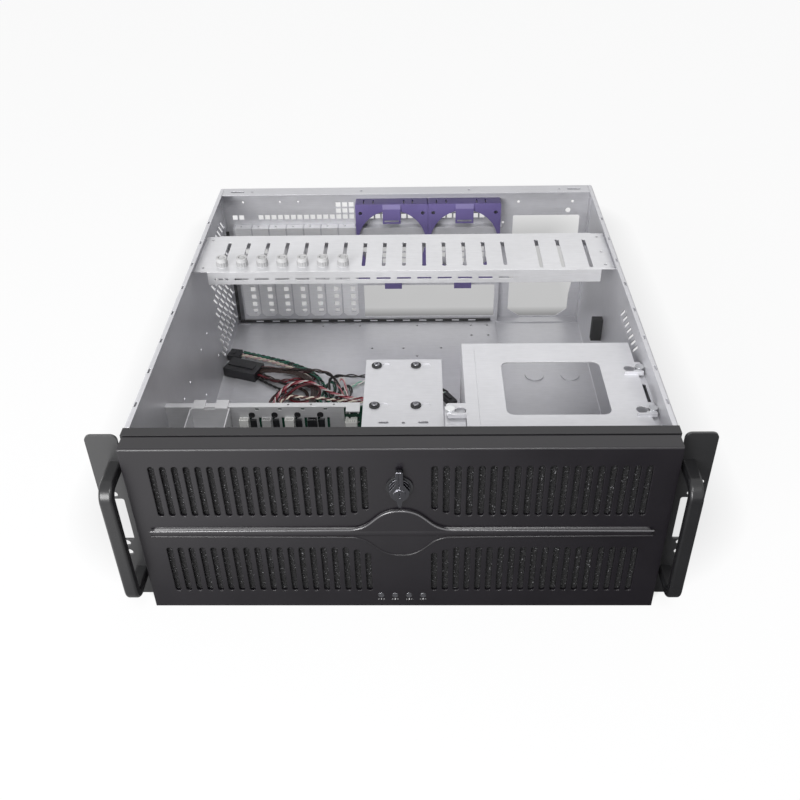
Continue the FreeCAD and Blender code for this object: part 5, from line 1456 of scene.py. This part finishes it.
@dataclass
class PlateParts:
    """Dark bushings and blocks on the face of the backplane's plate, one of each beside every drive socket."""

    bushing: float = 2.9
    bushing_sides: int = 24
    bushing_rim: float = 0.35
    drop: float = 8.8
    proud: float = 0.7
    dish: float = 0.6
    beside: float = 3.2
    block: Triple = (5.4, 2.4, 19.0)
    block_softness: float = 0.3
    block_top: float = 13.0
    block_aside: float = 1.0

    def bushing_model(self) -> Piece:
        """Model one round bushing with a dished face that looks forwards.

        Returns:
            The bushing, at the origin.
        """
        model = rod_piece(self.bushing * MM, self.proud * MM, self.bushing_sides, turn=TURNED_TO_FRONT)
        bpy.ops.object.transform_apply(rotation=True)
        move = Vector((0, self.proud * self.dish * MM, 0))
        push_faces(model, Vector((0, -1, 0)), self.bushing * self.bushing_rim * MM, move)
        return model

    def build(self) -> list[Piece]:
        """Copy the bushing and the block along the plate.

        Returns:
            The bushings and the blocks as two pieces.
        """
        top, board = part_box("backplane_rail")[1][2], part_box("backplane_board")[0][1]
        front = sorted((solid for solid in solids_of("backplane_connectors") if solid[0].y < board),
                       key=lambda solid: solid[0].x)
        models = [self.bushing_model(), box_piece((0, 0, 0), Vector(self.block) * MM, self.block_softness)]
        drops = (self.drop, self.block_top + self.block[2] / 2)
        copies: list[list[Piece]] = [[], []]
        for _low, high, _points in front[:-1]:
            for kind, aside, depth in ((0, 0.0, self.proud), (1, self.block_aside, self.block[1])):
                place = Vector((high.x + (self.beside + aside) * MM, high.y - depth * MM / 2, top - drops[kind] * MM))
                copies[kind].append(copy_of(models[kind], Matrix.Translation(place)))
        discard(*models)
        return [mount(parts, name, Dress.BLACK_PLUG, "chassis")
                for parts, name in zip(copies, ("plate_bushings", "plate_blocks"))]


@dataclass
class PostCollars:
    """Ribbed collars round the hold-down posts, under their plain heads, darker than the heads as painted shade."""

    posts: int = 7
    ribs: int = 14
    proud: float = 0.45
    groove: float = 0.93
    foot: float = 0.7
    head: float = 4.2

    def model(self, radius: float, height: float) -> Piece:
        """Model one collar as a rod whose side is drawn in between its ribs.

        Args:
            radius: The collar's radius in metres.
            height: Its height in metres.

        Returns:
            The collar, at the origin.
        """
        collar = rod_piece(radius, height, 2 * self.ribs)
        bpy.ops.object.mode_set(mode="EDIT")
        bpy.ops.mesh.select_mode(type="VERT")
        bpy.ops.mesh.select_all(action="DESELECT")
        bm = bmesh.from_edit_mesh(collar.data)
        step = math.pi / self.ribs
        for vert in bm.verts:
            vert.select_set(round(math.atan2(vert.co.x, vert.co.y) / step) % 2 == 1)
        bm.select_flush(False)
        bmesh.update_edit_mesh(collar.data)
        bpy.ops.transform.resize(value=(self.groove, self.groove, 1.0))
        bpy.ops.mesh.select_mode(type="FACE")
        bpy.ops.object.mode_set(mode="OBJECT")
        return collar

    def build(self) -> list[Piece]:
        """Put a collar on every post.

        Returns:
            The collars, one piece for each post.
        """
        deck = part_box("card_retainer_bar")[1][2] + self.foot * MM
        posts = [max(solids_of(f"hold_down_post_{number + 1}"), key=lambda solid: solid[1].z)
                 for number in range(self.posts)]
        low, high, _points = posts[0]
        model = self.model((high.x - low.x) / 2 + self.proud * MM, high.z - self.head * MM - deck)
        pieces = []
        for number, (low, high, _points) in enumerate(posts, 1):
            middle = (low + high) / 2
            middle.z = (deck + high.z - self.head * MM) / 2
            collar = copy_of(model, Matrix.Translation(middle))
            pieces.append(mount([collar], f"post_collar_{number}", Dress.NYLON_PAINTED_SHADE, f"post_{number}"))
        discard(model)
        return pieces


@dataclass
class RearSeamPaintedShadow:
    """A dark bar along the foot of the rear wall and up its corner, as painted shadow in the joint there, with the
    bright tabs that close it.
    """

    left: float = -208.5
    right: float = 103.5
    foot: float = 3.0
    head: float = 6.4
    corner: tuple[float, float, float] = (-2.0, 1.5, 128.0)
    depth: float = 1.0
    sink: float = 0.2
    softness: float = 0.12
    tab: Triple = (9.0, 0.5, 1.5)
    tab_drop: float = 0.6
    tab_share: float = 0.8
    pitch: float = 20.32

    def bar(self, low: Triple, high: Triple) -> Piece:
        """Model one bar with softened edges.

        Args:
            low: Lowest corner: x, depth from the wall's face, and z.
            high: Highest corner.

        Returns:
            The bar.
        """
        wall = Vector((0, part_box("slot_cover_1")[0][1], 0))
        low, high = (wall + Vector(corner) * MM for corner in (low, high))
        return box_piece((low + high) / 2, high - low, self.softness)

    def build(self) -> list[Piece]:
        """Model the dark bars of painted shadow and the tabs.

        Returns:
            The painted shadow bars and the tabs as two pieces.
        """
        out, back, top = self.corner
        bars = [self.bar((self.left, -self.depth, self.foot), (self.right, self.sink, self.head)),
                self.bar((self.left + out, -self.depth, self.head), (self.left + back, self.sink, top))]
        long, thick, high = self.tab
        face, foot = -self.depth - thick * self.tab_share, self.head - high - self.tab_drop
        tabs, x = [], self.left + self.pitch
        while x + long < self.right:
            tabs.append(self.bar((x, face, foot), (x + long, face + thick, foot + high)))
            x += self.pitch
        # The dark bars are painted shadow in the joint at the wall's foot.
        return [mount(bars, "rear_seam_painted_shadow", Dress.RUBBER, "chassis"), mount(tabs, "rear_tabs", Dress.CAGE, "chassis")]


@dataclass
class BoardParts:
    """Small soldered parts on the end of the backplane board."""

    rows: int = 5
    columns: int = 7
    pitch: tuple[float, float] = (2.6, 5.2)
    size: Triple = (1.9, 0.9, 1.3)
    inset: tuple[float, float] = (4.0, 6.0)
    softness: float = 0.15
    gap: int = 4

    def build(self) -> list[Piece]:
        """Model one soldered part and copy it over the board's open end.

        Returns:
            The parts, by finish.
        """
        low, high = (Vector(corner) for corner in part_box("backplane_board"))
        start = Vector((high.x - self.inset[0] * MM, low.y, high.z - self.inset[1] * MM))
        model = box_piece((0, 0, 0), Vector(self.size) * MM, self.softness)
        groups: dict[Dress, list[Piece]] = {Dress.WHITE_PLUG: [], Dress.BLACK_PLUG: [], Dress.PLATED: []}
        kinds = list(groups)
        for row in range(self.rows):
            for column in range(self.columns):
                if (row * 3 + column * 5) % self.gap == 1:
                    continue
                shift = Vector((-column * self.pitch[0], -self.size[1] / 2, -row * self.pitch[1])) * MM
                place = Matrix.Translation(start + shift)
                if (row + column) % 3 == 0:
                    place = place @ Matrix.Rotation(math.pi / 2, 4, "Y")
                groups[kinds[(row + 2 * column) % 3]].append(copy_of(model, place))
        discard(model)
        return [mount(parts, "board_parts_" + dress.name.lower(), dress, "chassis") for dress, parts in groups.items()]


# ---------------------------------------------------------------- studio
@dataclass(frozen=True)
class PaintedShadowPatch:
    """A soft-edged rectangle of floor dimmed as painted shadow of the case, in metres."""

    middle: tuple[float, float]
    half: tuple[float, float]
    reach: float
    level: float


@dataclass(frozen=True)
class Lamp:
    """One soft lamp: where it hangs and points and its side in metres, and its power in watts."""

    name: str
    place: Triple
    aim: Triple
    size: float
    power: float

    def hang(self) -> None:
        """Hang the lamp."""
        light = bpy.data.lights.new(self.name, "AREA")
        light.size = self.size
        light.energy = self.power
        holder = put_in_scene(self.name, light)
        holder.location = self.place
        holder.rotation_euler = (Vector(self.aim) - Vector(self.place)).to_track_quat("-Z", "Y").to_euler()


@dataclass
class Studio:
    """Pale floor with painted shadows and a painted reflection, soft lamps and the camera."""

    floor_size: float = 9.0
    floor_white: float = 0.90
    floor_colour: Triple = (0.86, 0.86, 0.87)
    floor_roughness: float = 0.9
    # Painted shadows on the floor: behind the case, under it and beside its walls.
    shades: tuple[PaintedShadowPatch, ...] = (PaintedShadowPatch((0.0, 0.20), (0.20, 0.28), 0.13, 0.54),
                                      PaintedShadowPatch((0.0, 0.0), (0.205, 0.195), 0.022, 0.04),
                                      PaintedShadowPatch((0.0, 0.10), (0.222, 0.145), 0.055, 0.16))
    # Painted reflection: the floor that glossy rays see is dimmed close round the case, and runs from bright on the
    # left to dim on the right for the sheen on the door.
    painted_reflection_shadow: PaintedShadowPatch = PaintedShadowPatch((0.0, 0.0), (0.215, 0.245), 0.10, 0.30)
    painted_sheen_span: tuple[float, float, float, float] = (-0.30, 0.20, 1.3, 0.05)
    sky_light: float = 0.44
    lamps: tuple[Lamp, ...] = (Lamp("lamp_front", (-0.95, -1.8, 0.82), (0, 0.1, 0.1), 1.0, 46),
                               Lamp("lamp_top", (0.1, -1.25, 1.75), (0, 0, 0.1), 0.5, 15))
    eye: Triple = (16.76, -545.2, 617.79)
    yaw: float = -1.62
    pitch: float = 36.85
    roll: float = -1.27
    lens: float = 41.70
    film: float = 36.0
    nearest: float = 0.01

    def seen(self, hand: NodeTree, path: Node) -> Socket:
        """Tell the rays that see the backdrop directly or in a mirror from those that light the case.

        Args:
            hand: The tree to build in.
            path: Its Light Path node.

        Returns:
            A socket that is 1 for camera, glossy and transmission rays.
        """
        direct = hand.maths("MAXIMUM", path.outputs["Is Camera Ray"], path.outputs["Is Transmission Ray"])
        return hand.maths("MAXIMUM", direct, path.outputs["Is Glossy Ray"])

    def around(self, hand: NodeTree, place: Socket, patch: PaintedShadowPatch) -> Socket:
        """Dim the floor in a soft rectangle, as painted shadow.

        Args:
            hand: The tree to build in.
            place: The floor's own coordinates.
            patch: The rectangle.

        Returns:
            The brightness, from the patch's level inside to 1 outside.
        """
        away = hand.add("Mapping", place, (-patch.middle[0], -patch.middle[1], 0.0)).outputs[0]
        away = hand.add("VectorMath", away, operation="ABSOLUTE").outputs[0]
        away = hand.add("VectorMath", away, (*patch.half, 0.0), operation="SUBTRACT").outputs[0]
        away = hand.add("VectorMath", away, operation="MAXIMUM").outputs[0]
        away = hand.add("VectorMath", away, operation="LENGTH").outputs["Value"]
        return hand.span(away, 0.0, patch.reach, patch.level, 1.0)

    def floor(self) -> Piece:
        """Lay the floor: white where it is seen, with painted shadow close round the case, and a painted reflection,
        dimmer to the right, for glossy rays.

        Returns:
            The floor.
        """
        clear_selection()
        bpy.ops.mesh.primitive_plane_add(size=self.floor_size, location=(0, 0, 0))
        plane = bpy.context.object
        plane.name = "studio_floor"
        recipe = Recipe("StudioFloor")
        recipe.set(Base_Color=self.floor_colour, Roughness=self.floor_roughness)
        # Painted shadow: the dimmest patch wins.
        shade, *others = [self.around(recipe, recipe.place, patch) for patch in self.shades]
        for other in others:
            shade = recipe.maths("MINIMUM", shade, other)
        across = recipe.add("SeparateXYZ", recipe.place).outputs["X"]
        # Painted reflection, bright to the left and dim to the right.
        painted_sheen = recipe.maths("MULTIPLY", recipe.span(across, *self.painted_sheen_span),
                                self.around(recipe, recipe.place, self.painted_reflection_shadow))
        path = recipe.add("LightPath")
        # Glossy rays see the painted reflection; other rays see the painted shadow.
        level = recipe.mix(path.outputs["Is Glossy Ray"], shade, painted_sheen, "FLOAT")
        white = recipe.add("Emission", (1, 1, 1), level)
        part = recipe.maths("MULTIPLY", self.seen(recipe, path), self.floor_white)
        blend = recipe.add("MixShader", part, recipe.shader.outputs[0], white.outputs[0])
        recipe.feed(recipe.tree.nodes["Material Output"].inputs["Surface"], blend.outputs[0])
        plane.data.materials.append(recipe.material)
        return plane

    def sky(self) -> None:
        """Set the even world light, with white seen directly."""
        world = bpy.data.worlds.new("StudioSky")
        bpy.context.scene.world = world
        world.use_nodes = True
        hand = NodeTree(world.node_tree)
        background = world.node_tree.nodes["Background"]
        hand.feed(background.inputs["Color"], (1, 1, 1))
        strength = hand.span(self.seen(hand, hand.add("LightPath")), 0.0, 1.0, self.sky_light, 1.0)
        hand.feed(background.inputs["Strength"], strength)

    def camera(self) -> None:
        """Stand the camera where it looks over the front door into the case."""
        yaw, pitch, roll = (math.radians(value) for value in (self.yaw, self.pitch, self.roll))
        ahead = Vector((math.sin(yaw) * math.cos(pitch), math.cos(yaw) * math.cos(pitch), -math.sin(pitch)))
        right = Vector((math.cos(yaw), -math.sin(yaw), 0))
        up = right.cross(ahead)
        level = right * math.cos(roll) + up * math.sin(roll)
        head = up * math.cos(roll) - right * math.sin(roll)
        data = bpy.data.cameras.new("studio_camera")
        data.lens, data.sensor_width, data.clip_start = self.lens, self.film, self.nearest
        holder = put_in_scene("studio_camera", data)
        turn = Matrix((level, head, -ahead)).transposed().to_4x4()
        holder.matrix_world = Matrix.Translation(Vector(self.eye) * MM + Vector((0, EAR_PLANE, 0))) @ turn
        bpy.context.scene.camera = holder

    def build(self) -> None:
        """Set up the whole studio."""
        self.floor()
        self.sky()
        for lamp in self.lamps:
            lamp.hang()
        self.camera()
        bpy.context.scene.view_settings.view_transform = "Standard"


def main() -> None:
    """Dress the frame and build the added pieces."""
    logging.basicConfig(level=logging.INFO, format="%(name)s %(message)s")
    Studio().build()
    made = LeadBundle().build()
    dress_frame()
    made += [FilterFoam("door_filter_left").build(), FilterFoam("door_filter_right").build()]
    made += [CrossHeadScrew().build("case_screws", "chassis", Dress.SCREW)]
    made += [CrossHeadScrew().build("front_screws", "chassis", Dress.BLACK_SCREW)]
    made += [DoorLips().build()] + LampRow().build() + DriveSockets().build() + BoardParts().build()
    made += PlateParts().build() + RearSeamPaintedShadow().build() + PostCollars().build()
    for piece in made:
        LOG.info("built %s", piece.name)


if __name__ == "__main__":
    main()
